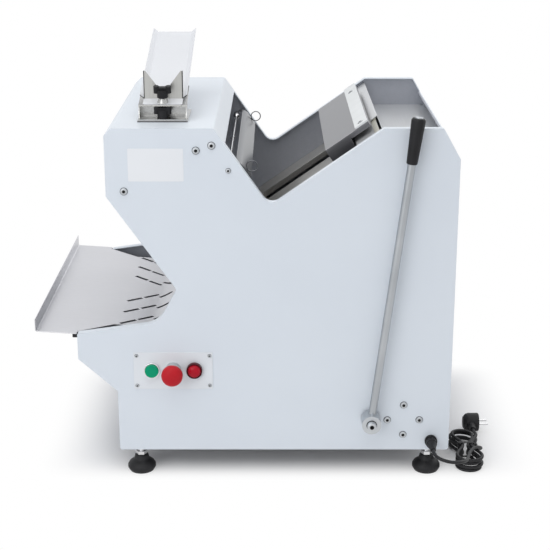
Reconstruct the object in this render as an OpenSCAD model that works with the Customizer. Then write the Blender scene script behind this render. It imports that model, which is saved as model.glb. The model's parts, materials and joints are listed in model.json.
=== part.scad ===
// Countertop bread slicer: a loaf slides down an inclined bed and is pressed by a hand lever
// through two blade frames that move against each other, onto an output tray.
// X runs from the output tray (-X) to the rear cover (+X), the lever is on the -Y side, Z is up.

/* [Body] */
// Distance between the outer faces of the two side panels
body_w = 565; // [520:5:640]
// Length of the base between its front and rear faces
base_l = 630; // [600:5:680]
// Height of the side panels
panel_h = 625; // [610:5:660]
// Height of the feet, from the floor to the base
foot_h = 55; // [50:1:65]
// Thickness of the sheet metal
sheet_t = 2; // [1.5:0.5:3]
// Depth of the folded rim of a side panel
rim_d = 14; // [10:1:20]

/* [Side outline] */
// Slope of the feed bed
feed_angle = 35; // [33:1:37]
// Distance from the rear face to the corner of the feed opening
rear_to_v = 342; // [335:1:350]
// Depth of the feed opening below the panel's top
v_depth = 143; // [138:1:150]
// Radius at the bottom of the feed opening
v_r = 20; // [12:1:28]
// Thickness of the neck that holds the blade frames
neck_w = 232; // [226:1:240]
// Length of the head in front of the feed opening's corner
head_l = 296; // [290:1:304]
// Chamfer at the head's upper front edge
head_chamfer = 13; // [8:1:20]
// Length of the chamfer at the rear top
rear_chamfer_l = 32; // [24:1:40]
// Height of the chamfer at the rear top
rear_chamfer_h = 56; // [44:1:64]
// Reach of the nose under the tray, in front of the base
nose_reach = 72; // [64:1:80]
// Height of the nose's tray edge above the base
nose_top_h = 237; // [230:1:245]
// Height of the nose's front face
nose_face_h = 51; // [44:1:58]
// Drop of the slope under the nose
nose_drop = 65; // [56:1:74]
// Rise of the nose's tray edge, in degrees
nose_rise = 8; // [6:1:10]
// Distance of the notch's lower corner in front of its inner tip
notch_run = 36; // [32:1:42]
// Height of the notch's inner tip above the base
tip_h = 323; // [316:1:330]

/* [Output tray] */
// Reach of the tray in front of the nose
tray_reach = 78; // [66:1:90]
// Height of the tray's upturned lip
lip_h = 24; // [18:1:30]
// Width of the tray's tongue between the panels
tongue_w = 440; // [420:5:460]
// Width of a crumb slot
crumb_slot_w = 7; // [5:0.5:8]
// Distance between the rows of crumb slots
crumb_pitch = 66; // [58:1:72]

/* [Feed] */
// Depth of the bed's surface below the feed opening's edge
bed_depth = 70; // [64:1:76]
// Length of the pusher across the machine
pusher_l = 407; // [380:1:420]
// Distance from the feed opening's corner to the push face
pusher_s = 133; // [128:1:140]
// Travel of the pusher along the bed
pusher_travel = 190; // [170:1:196]
// Width of the pusher's top plate
pusher_top_w = 95; // [85:1:100]
// Width of the white strip on the pusher
strip_w = 27; // [20:1:32]
// Height of the pusher's top above the feed opening's edge
pusher_proud = 12; // [8:1:16]
// Distance of the bed's slots from the middle
bed_slot_y = 122; // [112:1:132]
// Width of a slot in the bed
bed_slot_w = 84; // [74:1:88]

/* [Blades] */
// Distance between neighbouring blades
blade_pitch = 12; // [11:0.5:12.5]
// Number of blades in both frames together
blade_count = 31; // [25:2:31]
// Width of a blade strip
blade_w = 12; // [10:1:14]
// Thickness of a blade strip
blade_t = 0.6; // [0.5:0.1:1]
// Stroke of a blade frame to each side of the middle
blade_stroke = 15; // [12:1:16]
// Diameter of a frame's side rods
frame_rod_d = 12; // [10:1:14]

/* [Drive] */
// Diameter of the crankshaft's journals
shaft_d = 20; // [16:1:24]
// Diameter of the crank pins
crank_pin_d = 16; // [14:1:18]
// Diameter of the crank pulley
crank_pulley_d = 150; // [130:2:160]
// Diameter of the motor pulley
motor_pulley_d = 60; // [50:2:70]
// Width of the belt
belt_w = 14; // [10:1:18]
// Diameter of the motor
motor_d = 124; // [110:2:130]
// Length of the motor
motor_l = 210; // [180:5:230]

/* [Lever] */
// Distance of the lever's pivot from the rear face
lever_rear = 151; // [146:1:156]
// Height of the lever's pivot above the base
lever_h = 68; // [64:1:74]
// Length of the lever from its pivot to its top
lever_l = 586; // [560:2:610]
// Lean of the lever towards the rear
lever_lean = 7; // [5:0.5:8]
// Diameter of the lever's rod
lever_d = 15; // [12:1:16]
// Diameter of the lever's hub
hub_d = 36; // [34:1:42]
// Length of the lever's hub
hub_l = 36; // [30:1:40]
// Length of the grip
grip_l = 85; // [75:1:100]
// Diameter of the grip at its top
grip_d = 26; // [22:1:30]
// Diameter of the lever's shaft
lever_shaft_d = 20; // [18:1:24]

/* [Controls] */
// Width of the control plate
plate_w = 149; // [142:1:156]
// Height of the control plate
plate_h = 74; // [68:1:80]
// Height of the control plate's middle above the base
plate_z = 163; // [158:1:168]
// Distance from the front face to the control plate's middle
plate_x = 106; // [102:1:110]
// Diameter of the stop button's mushroom
stop_d = 40; // [36:1:42]
// Diameter of the start button's cap
start_d = 25; // [22:0.5:26]
// Diameter of a bezel
bezel_d = 30; // [29:0.5:32]
// Distance between the controls
control_pitch = 40; // [38:0.5:42]
// Travel of the push buttons
button_travel = 4; // [3:0.5:5]

/* [Scoop] */
// Width of the bagging scoop
scoop_w = 87; // [80:1:90]
// Length of the bagging scoop
scoop_l = 325; // [310:5:340]
// Rise of the bagging scoop, in degrees
scoop_rise = 14.5; // [13:0.5:16]
// Width of each flared side of the scoop
scoop_flare = 9; // [6:1:12]
// Height of the scoop's flared sides
scoop_wall = 8; // [5:1:12]
// Width of the scoop's base plate
scoop_base_w = 92; // [86:1:98]

/* [Feet] */
// Diameter of a rubber foot
foot_d = 54; // [46:1:58]
// Distance of the feet from the base's ends
foot_inset = 38; // [34:1:42]

/* [Cord] */
// Diameter of the cord
cord_d = 6.6; // [6.2:0.1:7]

/* [Hidden] */
$fn = 48;
run_gap = 0.05;
clear = 0.3;
overall_l = base_l + nose_reach + tray_reach;
lever_gap = 4;
bolt_h = 10;
bolt_d = 18;
screw_h = 3;
near_proud = lever_gap + hub_l + bolt_h;
y_mid = (near_proud - screw_h) / 2;
yn = y_mid - body_w / 2;
yf = y_mid + body_w / 2;
yin = yn + sheet_t;
yif = yf - sheet_t;
inner_w = body_w - 2 * sheet_t;
x_rear = overall_l / 2;
x_front = x_rear - base_l;
x_nose = x_front - nose_reach;
x_tip = x_nose - tray_reach;
z_bot = foot_h;
z_top = foot_h + panel_h;
v_x = x_rear - rear_to_v;
v_z = z_top - v_depth;
x_head = v_x - head_l;
z_nose = z_bot + nose_top_h;
fc = cos(feed_angle);
fs = sin(feed_angle);

// A point of the side view, from its distance along the bed and square to it
function feed_pt(s, n) = [v_x + s * fc - n * fs, v_z + s * fs + n * fc];
// The point at a given height on the neck's front line
function neck_pt(z) = [v_x + (-neck_w - (z - v_z) * fs) / fc, z];
function neck_at_x(x) = [x, v_z + (-neck_w - (x - v_x) * fc) / fs];
v_left_top = feed_pt(0, (z_top - v_z) / fc);
feed_top = feed_pt((z_top - v_z) / fs, 0);
head_low = neck_at_x(x_head);
tip = neck_pt(z_bot + tip_h);
notch_x = tip[0] - notch_run;
notch = [notch_x, z_nose + (notch_x - x_nose) * tan(nose_rise)];

// Rounding of an outline: every corner is [x, z, radius]
arc_n = 5;
function unit(v) = v / norm(v);
function wrap(a) = a > 180 ? a - 360 : a < -180 ? a + 360 : a;
function corner(a, p, b, r) =
    let (u = unit(a - p), w = unit(b - p), h = acos(u * w) / 2,
         c = p + unit(u + w) * r / sin(h),
         s = p + u * r / tan(h) - c, e = p + w * r / tan(h) - c,
         a0 = atan2(s[1], s[0]), da = wrap(atan2(e[1], e[0]) - a0))
    [for (i = [0 : arc_n]) c + r * [cos(a0 + da * i / arc_n), sin(a0 + da * i / arc_n)]];
function xy(p) = [p[0], p[1]];
function rounded(pts) =
    let (k = len(pts))
    [for (i = [0 : k - 1])
        each corner(xy(pts[(i + k - 1) % k]), xy(pts[i]), xy(pts[(i + 1) % k]), pts[i][2])];
function rounded_path(pts) =
    let (k = len(pts))
    [xy(pts[0]),
     for (i = [1 : k - 2]) each corner(xy(pts[i - 1]), xy(pts[i]), xy(pts[i + 1]), pts[i][2]),
     xy(pts[k - 1])];
// Left normals of an outline's edges, and the outline moved inwards by t
function left(a, b) = let (d = unit(b - a)) [-d[1], d[0]];
function miter(p, n1, n2, t) = p + (n1 + n2) * t / (1 + n1 * n2);
function inset(pts, t) =
    let (k = len(pts))
    [for (i = [0 : k - 1])
        miter(pts[i], left(pts[(i + k - 1) % k], pts[i]), left(pts[i], pts[(i + 1) % k]), t)];
function inset_path(pts, t) =
    let (k = len(pts))
    [for (i = [0 : k - 1])
        miter(pts[i], i == 0 ? left(pts[0], pts[1]) : left(pts[i - 1], pts[i]),
              i == k - 1 ? left(pts[k - 2], pts[k - 1]) : left(pts[i], pts[i + 1]), t)];
function reversed(l) = [for (i = [len(l) - 1 : -1 : 0]) l[i]];
function band(path, t) = concat(path, reversed(inset_path(path, t)));

edge_r = 5;
outline = rounded([
    [x_front, z_bot, edge_r], [x_rear, z_bot, edge_r],
    [x_rear, z_top - rear_chamfer_h, edge_r], [x_rear - rear_chamfer_l, z_top, edge_r],
    [feed_top[0], feed_top[1], edge_r], [v_x, v_z, v_r], [v_left_top[0], v_left_top[1], edge_r],
    [x_head + head_chamfer, z_top, edge_r], [x_head, z_top - head_chamfer, edge_r],
    [head_low[0], head_low[1], edge_r], [tip[0], tip[1], 10], [notch[0], notch[1], 45],
    [x_nose, z_nose, 4], [x_nose, z_nose - nose_face_h, edge_r],
    [x_front, z_nose - nose_face_h - nose_drop, edge_r]]);

// Places shared by several pieces
crank_s = -120;
crank_n = -350;
crank = feed_pt(crank_s, crank_n);
lever_pivot = [x_rear - lever_rear, z_bot + lever_h];
pin_n = -bed_depth - 40;
pin_s = pusher_s + 17;
cut_w = (blade_count - 1) * blade_pitch;
frame_y = cut_w / 2 + 16;

module at_feed() {
    translate([v_x, 0, v_z])
        rotate([0, -feed_angle, 0])
            children();
}
module side_plate(y0, y1, pts) {
    translate([0, y1, 0])
        rotate([90, 0, 0])
            linear_extrude(y1 - y0)
                polygon(pts);
}
module y_rod(x, z, d, y0, y1) {
    translate([x, y0, z])
        rotate([-90, 0, 0])
            cylinder(d = d, h = y1 - y0);
}
// A box from its lowest and highest corners
module block(low, high) {
    translate(low)
        cube(high - low);
}

// Screw places on a side panel, and the bolts of the lever's stop block
screw_d = 5;
screw_head_d = 13;
screw_at = [[v_x - 132, z_top - 40], [v_x - 104, z_top - 31], [x_head + 33, z_top - 115]];
stop_at = [x_rear - 88, z_bot + 62];
stop_half = 30.5;
stop_bolts = [for (a = [0 : 90 : 270]) stop_at + stop_half * [cos(a), sin(a)]];
control_z = z_bot + plate_z + 2;
control_x = [for (i = [-1 : 1]) x_front + plate_x + i * control_pitch];
control_hole_d = 22.4;
gland_at = [x_rear - 34, z_bot + 19];
gland_hole_d = 16;
bush_d = lever_shaft_d + 10;
flap_s = -23;
flap_n = 97;
flap_pivot = feed_pt(flap_s, flap_n);
flap_rod_d = 6;

module side_panel_sheet(y0, y1, rim0, rim1) {
    side_plate(y0, y1, outline);
    difference() {
        side_plate(rim0, rim1, outline);
        side_plate(rim0 - 1, rim1 + 1, inset(outline, sheet_t));
    }
}
module panel_holes(at, y0, y1) {
    for (p = at)
        y_rod(p[0], p[1], screw_d + 2 * clear, y0, y1);
}
module near_side_panel() {
    color("white")
        difference() {
            side_panel_sheet(yn, yin, yin, yn + rim_d);
            panel_holes(concat(screw_at, stop_bolts), yn - 1, yin + 1);
            for (x = control_x)
                y_rod(x, control_z, control_hole_d, yn - 1, yin + 1);
            y_rod(gland_at[0], gland_at[1], gland_hole_d, yn - 1, yin + 1);
            y_rod(lever_pivot[0], lever_pivot[1], bush_d, yn - 1, yin + 1);
        }
}
module far_side_panel() {
    color("white")
        difference() {
            side_panel_sheet(yif, yf, yf - rim_d, yif);
            panel_holes(screw_at, yif - 1, yf + 1);
        }
}
cover_y0 = yn + rim_d;
cover_y1 = yf - rim_d;
hood_n = 85;
lip_n = (z_top - v_z) / fc - 36;
seam_z = z_top - head_chamfer - 30;
module top_cover() {
    color("white")
        side_plate(cover_y0, cover_y1, band(rounded_path([
            feed_pt(0, lip_n), [v_left_top[0], v_left_top[1], edge_r],
            [x_head + head_chamfer, z_top, edge_r], [x_head, z_top - head_chamfer, edge_r],
            [x_head, seam_z]]), sheet_t));
}
module outfeed_hood() {
    color("white")
        side_plate(cover_y0, cover_y1, band(rounded_path([
            [x_head, seam_z], [head_low[0], head_low[1], edge_r], feed_pt(-neck_w, hood_n)]), sheet_t));
}
module chin_cover() {
    color("white")
        side_plate(cover_y0, cover_y1, band(rounded_path([
            [x_nose, tray_z(x_nose + sheet_t) - 0.1], [x_nose, z_nose - nose_face_h, edge_r],
            [x_front, z_nose - nose_face_h - nose_drop, edge_r], [x_front, z_bot + edge_r]]), sheet_t));
}
// The rear cover ends part of the way up the chamfer in a hem that is bent inwards
hem_share = 0.52;
hem_at = [x_rear - rear_chamfer_l * hem_share, z_top - rear_chamfer_h * (1 - hem_share)];
hem_l = 6;
hem_angle = 30;
module rear_cover() {
    color("white")
        side_plate(cover_y0, cover_y1, band(rounded_path([
            [x_rear, z_bot + edge_r], [x_rear, z_top - rear_chamfer_h, edge_r],
            [hem_at[0], hem_at[1], 3], hem_at - hem_l * [cos(hem_angle), sin(hem_angle)]]), sheet_t));
}
// Flat shelf behind the pusher's upper deck
deck_z = z_top - 59;
deck_n = -8;
deck_under = 34;
deck_s0 = pusher_s + 55;
deck_s1 = (z_top - v_z) / fs - 6;
deck_end = feed_pt(deck_s1, deck_n);
module rear_deck() {
    color("gainsboro")
        block([deck_end[0] - deck_under, yin, deck_z - sheet_t], [x_rear - sheet_t, yif, deck_z]);
}
// Sloping plate under the pusher's rest place, with a turned-down end and a cut-out beside the near panel
cut_y0 = yn + 45;
cut_y1 = yn + 175;
cut_s = 16;
module upper_deck() {
    color("lightgray")
        difference() {
            union() {
                at_feed()
                    block([deck_s0, yin, deck_n - sheet_t], [deck_s1, yif, deck_n]);
                block([deck_end[0] - sheet_t, yin, deck_z], [deck_end[0], yif, deck_end[1] - sheet_t]);
            }
            at_feed()
                block([deck_s1 - cut_s, cut_y0, deck_n - 20], [deck_s1 + 20, cut_y1, deck_n + 10]);
        }
}
base_t = 3;
base_wall = 22;
module base_plate() {
    color("dimgray") {
        difference() {
            block([x_front + edge_r, yin, base_z - base_t], [x_rear - edge_r, yif, base_z]);
            for (p = foot_at)
                translate([p[0], p[1], z_bot])
                    cylinder(d = foot_stud_d, h = 20);
        }
        for (x = [x_front + edge_r, x_rear - edge_r - base_t])
            block([x, yin, base_z], [x + base_t, yif, z_bot + sheet_t + base_wall]);
    }
}
base_z = z_bot + sheet_t + base_t;
foot_stud_d = 12;
foot_side = rim_d + 15;
foot_at = [for (x = [x_front + foot_inset, x_rear - foot_inset], y = [yn + foot_side, yf - foot_side]) [x, y]];
dome_h = 34;
stud_socket = 12;
module foot_set() {
    color("black")
        for (p = foot_at)
            translate([p[0], p[1], 0])
                difference() {
                    rotate_extrude()
                        polygon([[0, 0], [foot_d / 2 - 4, 0], [foot_d / 2, 7], [foot_d / 2, 12],
                                 [foot_d / 2 - 3, 17], [foot_d / 2 - 12, 24], [13, dome_h - 2], [11, dome_h],
                                 [0, dome_h]]);
                    translate([0, 0, dome_h - stud_socket])
                        cylinder(d = foot_stud_d, h = stud_socket + 1);
                }
}
nut_d = 22;
nut_h = 7;
module foot_studs() {
    color("silver")
        for (p = foot_at)
            translate([p[0], p[1], 0]) {
                translate([0, 0, dome_h - stud_socket])
                    cylinder(d = foot_stud_d, h = base_z - dome_h + stud_socket + 14);
                for (z = [dome_h, z_bot + sheet_t - nut_h])
                    translate([0, 0, z])
                        cylinder(d = nut_d, h = nut_h, $fn = 6);
                translate([0, 0, base_z])
                    cylinder(d = nut_d, h = nut_h, $fn = 6);
            }
}

// Output tray: lip, nearly flat table and a chute that curves up to the blades
tray_t = 1.5;
tray_fall = 0.065;
tray_tip_z = z_nose + 4;
function tray_z(x) = tray_tip_z - tray_fall * (x - x_tip);
chute_n = -bed_depth - 20;
chute_s = -160;
chute_end = feed_pt(chute_s, chute_n);
tray_bend_x = (tray_tip_z + tray_fall * x_tip - chute_end[1] + tan(feed_angle) * chute_end[0])
            / (tan(feed_angle) + tray_fall);
taper = 38;
crumb_angle = 41;
crumb_x = x_nose + 73;
crumb_l = 36;
crumb_bridge = 6;
tray_side = body_w / 2;
tray_inner = tray_side - rim_d - 1;
taper_l = (tray_inner - tongue_w / 2) / tan(taper);
module crumb_slot(x, y, along, l, side) {
    translate([x, y, 0])
        rotate([0, 0, -side * crumb_angle])
            block([along, -crumb_slot_w / 2, 0], [along + l, crumb_slot_w / 2, z_top]);
}
module output_tray() {
    color("lightgray")
        translate([0, y_mid, 0])
            difference() {
                intersection() {
                    side_plate(-tray_side, tray_side, band(rounded_path([
                        [x_tip, tray_tip_z + lip_h], [x_tip, tray_tip_z, 4],
                        [tray_bend_x, tray_z(tray_bend_x), 70], chute_end]), tray_t));
                    linear_extrude(z_top)
                        polygon([[x_tip - 1, -tray_side], [x_nose - 1, -tray_side], [x_nose - 1, -tray_inner],
                                 [x_nose + 2, -tray_inner], [x_nose + 2 + taper_l, -tongue_w / 2],
                                 [v_x, -tongue_w / 2], [v_x, tongue_w / 2],
                                 [x_nose + 2 + taper_l, tongue_w / 2],
                                 [x_nose + 2, tray_inner], [x_nose - 1, tray_inner], [x_nose - 1, tray_side],
                                 [x_tip - 1, tray_side]]);
                }
                for (side = [-1, 1], row = [0 : 2]) {
                    y = side * (tongue_w / 2 - 6 - row * crumb_pitch);
                    crumb_slot(crumb_x, y, 0, crumb_l, side);
                    crumb_slot(crumb_x, y, crumb_l + crumb_bridge, crumb_l, side);
                    crumb_slot(crumb_x + 62, y - side * crumb_pitch / 2, 0, crumb_l - 4, side);
                }
            }
}
bumper_w = 14;
bumper_l = 9;
bumper_h = 7;
module bumper_set() {
    under = tray_z(x_nose) - 0.1;
    color("black")
        for (y = [yn + 1, yf - 1 - bumper_w])
            block([x_nose - bumper_l, y, under - bumper_h], [x_nose, y + bumper_w, under]);
}
module rubber_pads() {
    foot_set();
    bumper_set();
}

// Feed bed, the beams under it and the pusher's guide rods
bed_s0 = -80;
bed_s1 = deck_s1 - 12;
slot_s0 = bed_s0 + 12;
slot_s1 = pusher_s + 72;
slot_lip = 12;
bed_n = -bed_depth;
module bed_slots(y_grow, n0, n1) {
    for (side = [-1, 1])
        let (y0 = side > 0 ? bed_slot_y : -bed_slot_y - bed_slot_w)
            block([slot_s0 - y_grow, y0 - y_grow, n0], [slot_s1 + y_grow, y0 + bed_slot_w + y_grow, n1]);
}
module feed_bed() {
    color("lightgray")
        at_feed()
            translate([0, y_mid, 0])
                difference() {
                    union() {
                        block([bed_s0, -inner_w / 2, bed_n - sheet_t], [bed_s1, inner_w / 2, bed_n]);
                        bed_slots(sheet_t, bed_n - slot_lip, bed_n);
                    }
                    bed_slots(0, bed_n - slot_lip - 1, bed_n + 1);
                }
}
guide_d = 16;
guide_y = bed_slot_y + bed_slot_w + 30;
beam_w = 16;
beam_n0 = pin_n - 16;
beam_s = [bed_s0 - 8, slot_s1 + sheet_t + 4];
module bed_beam_set() {
    color("slategray")
        at_feed()
            translate([0, y_mid, 0])
                for (s = beam_s)
                    difference() {
                        block([s, -inner_w / 2, beam_n0], [s + beam_w, inner_w / 2, bed_n - sheet_t]);
                        for (side = [-1, 1])
                            translate([s - 1, side * guide_y, pin_n])
                                rotate([0, 90, 0])
                                    cylinder(d = guide_d, h = beam_w + 2);
                    }
}
module guide_rods() {
    color("silver")
        at_feed()
            translate([0, y_mid, 0])
                for (side = [-1, 1])
                    translate([beam_s[0], side * guide_y, pin_n])
                        rotate([0, 90, 0])
                            cylinder(d = guide_d, h = beam_s[1] + beam_w - beam_s[0]);
}

// Pusher: a bent plate on two uprights that run through the bed's slots
pusher_t = 2;
pin_d = 14;
upright_y0 = bed_slot_y + 50;
upright_y1 = bed_slot_y + bed_slot_w - 6;
slide_l = 44;
push_floor = 1.5;
top_n = pusher_proud;
pusher_lip = 10;
cheek_w = deck_s0 - pusher_s - 4;
module pusher_plate() {
    half = pusher_l / 2;
    s1 = pusher_s + pusher_top_w;
    color("silver")
        at_feed()
            translate([0, y_mid, 0]) {
                block([pusher_s, -half, top_n - pusher_t], [s1, half, top_n]);
                block([pusher_s, -half, bed_n + push_floor], [pusher_s + pusher_t, half, top_n - pusher_t]);
                block([s1 - pusher_t, -half, top_n - pusher_lip], [s1, half, top_n - pusher_t]);
                for (y = [-half, half - pusher_t]) {
                    block([pusher_s + pusher_t, y, bed_n + push_floor],
                          [pusher_s + cheek_w, y + pusher_t, top_n - pusher_t]);
                    block([pusher_s + cheek_w, y, top_n - pusher_lip],
                          [s1 - pusher_t, y + pusher_t, top_n - pusher_t]);
                }
            }
}
strip_t = 4;
strip_s = pusher_s + pusher_top_w - strip_w;
module pusher_strip() {
    color("white")
        at_feed()
            translate([0, y_mid, 0])
                block([strip_s, -pusher_l / 2, top_n], [strip_s + strip_w, pusher_l / 2, top_n + strip_t]);
}
module pusher_carriage() {
    color("gray")
        at_feed()
            translate([0, y_mid, 0])
                difference() {
                    union() {
                        for (side = [-1, 1]) {
                            translate([pin_s, side * guide_y, 0])
                                block([-slide_l / 2, -15, pin_n - 15], [slide_l / 2, 15, pin_n + 15]);
                            let (y0 = side > 0 ? upright_y0 : -upright_y1)
                                block([pin_s - 12, y0, pin_n - 4],
                                      [pin_s + 12, y0 + upright_y1 - upright_y0, top_n - pusher_t]);
                        }
                        translate([pin_s, -guide_y, pin_n])
                            rotate([-90, 0, 0])
                                cylinder(d = pin_d, h = 2 * guide_y);
                    }
                    for (side = [-1, 1])
                        translate([pin_s - slide_l, side * guide_y, pin_n])
                            rotate([0, 90, 0])
                                cylinder(d = guide_d + 2 * run_gap, h = 2 * slide_l);
                }
}

// Blade frames: welded from bars and side rods, guided by two beams
bar_w = 12;
bar_h = 16;
blade_n0 = bed_n - 36;
blade_n1 = 126;
upper_beam_n = [blade_n1 + bar_h + 34, blade_n1 + bar_h + 58];
lower_beam_n = [blade_n0 - bar_h - 78, blade_n0 - bar_h - 54];
yoke_n1 = lower_beam_n[0] - 22;
yoke_h = 14;
rod_top = upper_beam_n[1] + 15;
wrist_n = crank_n + 70;
crank_y = 20;
web_t = 8;
pin_l = 12;
rod_w = pin_l - 2 * clear;
lug_t = 7;
module frame_rod(s, y, n0, n1, d) {
    translate([s, y, n0])
        cylinder(d = d, h = n1 - n0);
}
// side is 1 for the frame nearer the loaf and -1 for the other
module blade_frame(side) {
    s = crank_s + side * blade_stroke;
    lug_y = -side * (crank_y + pin_l / 2 + 1);
    lug_y0 = side > 0 ? lug_y - lug_t : lug_y;
    at_feed()
        translate([0, y_mid, 0]) {
            for (y = [-frame_y, frame_y])
                frame_rod(s, y, yoke_n1 - yoke_h, rod_top, frame_rod_d);
            for (n = [blade_n0 - bar_h, blade_n1])
                block([s - bar_w / 2, -frame_y - 9, n], [s + bar_w / 2, frame_y + 9, n + bar_h]);
            block([s - bar_w / 2, -frame_y - 9, yoke_n1 - yoke_h], [s + bar_w / 2, frame_y + 9, yoke_n1]);
            block([s - 8, lug_y0, wrist_n], [s + 8, lug_y0 + lug_t, yoke_n1 - yoke_h]);
            translate([s, lug_y0, wrist_n])
                rotate([-90, 0, 0])
                    cylinder(d = 16, h = lug_t);
        }
}
module blade_set(side) {
    s = crank_s + side * blade_stroke;
    first = side > 0 ? 0 : 1;
    at_feed()
        translate([0, y_mid, 0])
            for (i = [first : 2 : blade_count - 1])
                translate([s - blade_w / 2, i * blade_pitch - cut_w / 2 - blade_t / 2, blade_n0])
                    cube([blade_w, blade_t, blade_n1 - blade_n0]);
}
module front_blade_frame() { color("silver") blade_frame(1); }
module rear_blade_frame() { color("silver") blade_frame(-1); }
module front_blades() { color("gainsboro") blade_set(1); }
module rear_blades() { color("gainsboro") blade_set(-1); }
module guide_beam(n0, n1) {
    at_feed()
        translate([0, y_mid, 0])
            difference() {
                block([crank_s - 35, -inner_w / 2, n0], [crank_s + 35, inner_w / 2, n1]);
                for (side = [-1, 1], y = [-frame_y, frame_y])
                    frame_rod(crank_s + side * blade_stroke, y, n0 - 1, n1 + 1, frame_rod_d + 2 * run_gap);
            }
}
module cross_beams() {
    bed_beam_set();
    color("slategray")
        for (n = [lower_beam_n, upper_beam_n])
            guide_beam(n[0], n[1]);
}

// Crankshaft with two throws, its bearings and connecting rods
bearing_l = 24;
bearing_half = 32;
web_d = crank_pin_d + 2 * blade_stroke + 12;
pulley_w = belt_w + 6;
pulley_gap = 19;
pulley_y = inner_w / 2 - bearing_l - pulley_gap - pulley_w / 2;
module crank_cyl(s, d, y0, y1) {
    translate([crank_s + s, y0, crank_n])
        rotate([-90, 0, 0])
            cylinder(d = d, h = y1 - y0);
}
module crankshaft() {
    color("silver")
        at_feed()
            translate([0, y_mid, 0]) {
                w0 = crank_y + pin_l / 2;
                crank_cyl(0, shaft_d, -inner_w / 2 + clear, -w0);
                crank_cyl(0, shaft_d, w0, inner_w / 2 - clear);
                crank_cyl(0, web_d, -w0 - web_t, -w0);
                crank_cyl(0, web_d, -crank_y + pin_l / 2, crank_y - pin_l / 2);
                crank_cyl(0, web_d, w0, w0 + web_t);
                crank_cyl(blade_stroke, crank_pin_d, -w0, -crank_y + pin_l / 2);
                crank_cyl(-blade_stroke, crank_pin_d, crank_y - pin_l / 2, w0);
            }
}
module crank_bearing_blocks() {
    color("dimgray")
        at_feed()
            translate([0, y_mid, 0])
                for (y0 = [-inner_w / 2, inner_w / 2 - bearing_l])
                    difference() {
                        block([crank_s - bearing_half, y0, crank_n - bearing_half],
                              [crank_s + bearing_half, y0 + bearing_l, crank_n + bearing_half]);
                        crank_cyl(0, shaft_d + 2 * run_gap, y0 - 1, y0 + bearing_l + 1);
                    }
}
module connecting_rod(side) {
    s = crank_s + side * blade_stroke;
    y0 = -side * crank_y - rod_w / 2;
    at_feed()
        translate([s, y_mid + y0, 0])
            rotate([-90, 0, 0])
                difference() {
                    union() {
                        translate([0, -crank_n, 0])
                            cylinder(d = crank_pin_d + 14, h = rod_w);
                        translate([0, -wrist_n, 0])
                            cylinder(d = 20, h = rod_w);
                        translate([-6, -wrist_n, 2])
                            cube([12, wrist_n - crank_n, rod_w - 4]);
                    }
                    translate([0, -crank_n, -1])
                        cylinder(d = crank_pin_d + 2 * run_gap, h = rod_w + 2);
                    translate([0, -wrist_n, -1])
                        cylinder(d = 10, h = rod_w + 2);
                }
}
module front_connecting_rod() { color("gray") connecting_rod(1); }
module rear_connecting_rod() { color("gray") connecting_rod(-1); }
module pulley(d, bore) {
    rotate([-90, 0, 0])
        rotate_extrude($fn = 72)
            polygon([[bore / 2, 0], [d / 2 + 3, 0], [d / 2 + 3, 2], [d / 2, 3], [d / 2, pulley_w - 3],
                     [d / 2 + 3, pulley_w - 2], [d / 2 + 3, pulley_w], [bore / 2, pulley_w]]);
}
module crank_pulley() {
    color("dimgray")
        translate([crank[0], y_mid + pulley_y - pulley_w / 2, crank[1]])
            pulley(crank_pulley_d, shaft_d);
}
motor_at = [x_front + 130, base_z + motor_d / 2 + 8];
motor_shaft_d = 14;
motor_y1 = pulley_y - pulley_w / 2 - 14;
module motor_pulley() {
    color("dimgray")
        translate([motor_at[0], y_mid + pulley_y - pulley_w / 2, motor_at[1]])
            pulley(motor_pulley_d, motor_shaft_d);
}
module motor_shaft() {
    color("silver")
        y_rod(motor_at[0], motor_at[1], motor_shaft_d,
              y_mid + motor_y1 + clear, y_mid + pulley_y + pulley_w / 2);
}
module belt_loop(grow) {
    hull() {
        translate(crank)
            circle(d = crank_pulley_d + 2 * grow, $fn = 64);
        translate(motor_at)
            circle(d = motor_pulley_d + 2 * grow, $fn = 64);
    }
}
belt_t = 2.4;
module drive_belt() {
    color("black")
        translate([0, y_mid + pulley_y + belt_w / 2, 0])
            rotate([90, 0, 0])
                linear_extrude(belt_w)
                    difference() {
                        belt_loop(clear + belt_t);
                        belt_loop(clear);
                    }
}
// Casing with a fan cowl at one end and a stepped flange at the other
module motor() {
    motor_r = motor_d / 2;
    color("steelblue")
        translate([motor_at[0], y_mid + motor_y1 - motor_l, motor_at[1]])
            rotate([-90, 0, 0])
                rotate_extrude($fn = 64)
                    polygon([[0, 0], [motor_r - 8, 0], [motor_r - 4, 5], [motor_r - 4, 40], [motor_r, 44],
                             [motor_r, motor_l - 24], [motor_r - 5, motor_l - 18], [30, motor_l - 4],
                             [20, motor_l], [0, motor_l]]);
}
module motor_cradle() {
    color("slategray")
        difference() {
            block([motor_at[0] - motor_d / 2 - 10, y_mid + motor_y1 - motor_l + 60, base_z],
                  [motor_at[0] + motor_d / 2 + 10, y_mid + motor_y1 - 40, base_z + motor_d / 3]);
            y_rod(motor_at[0], motor_at[1], motor_d, y_mid - body_w, y_mid + body_w);
        }
}

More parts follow.
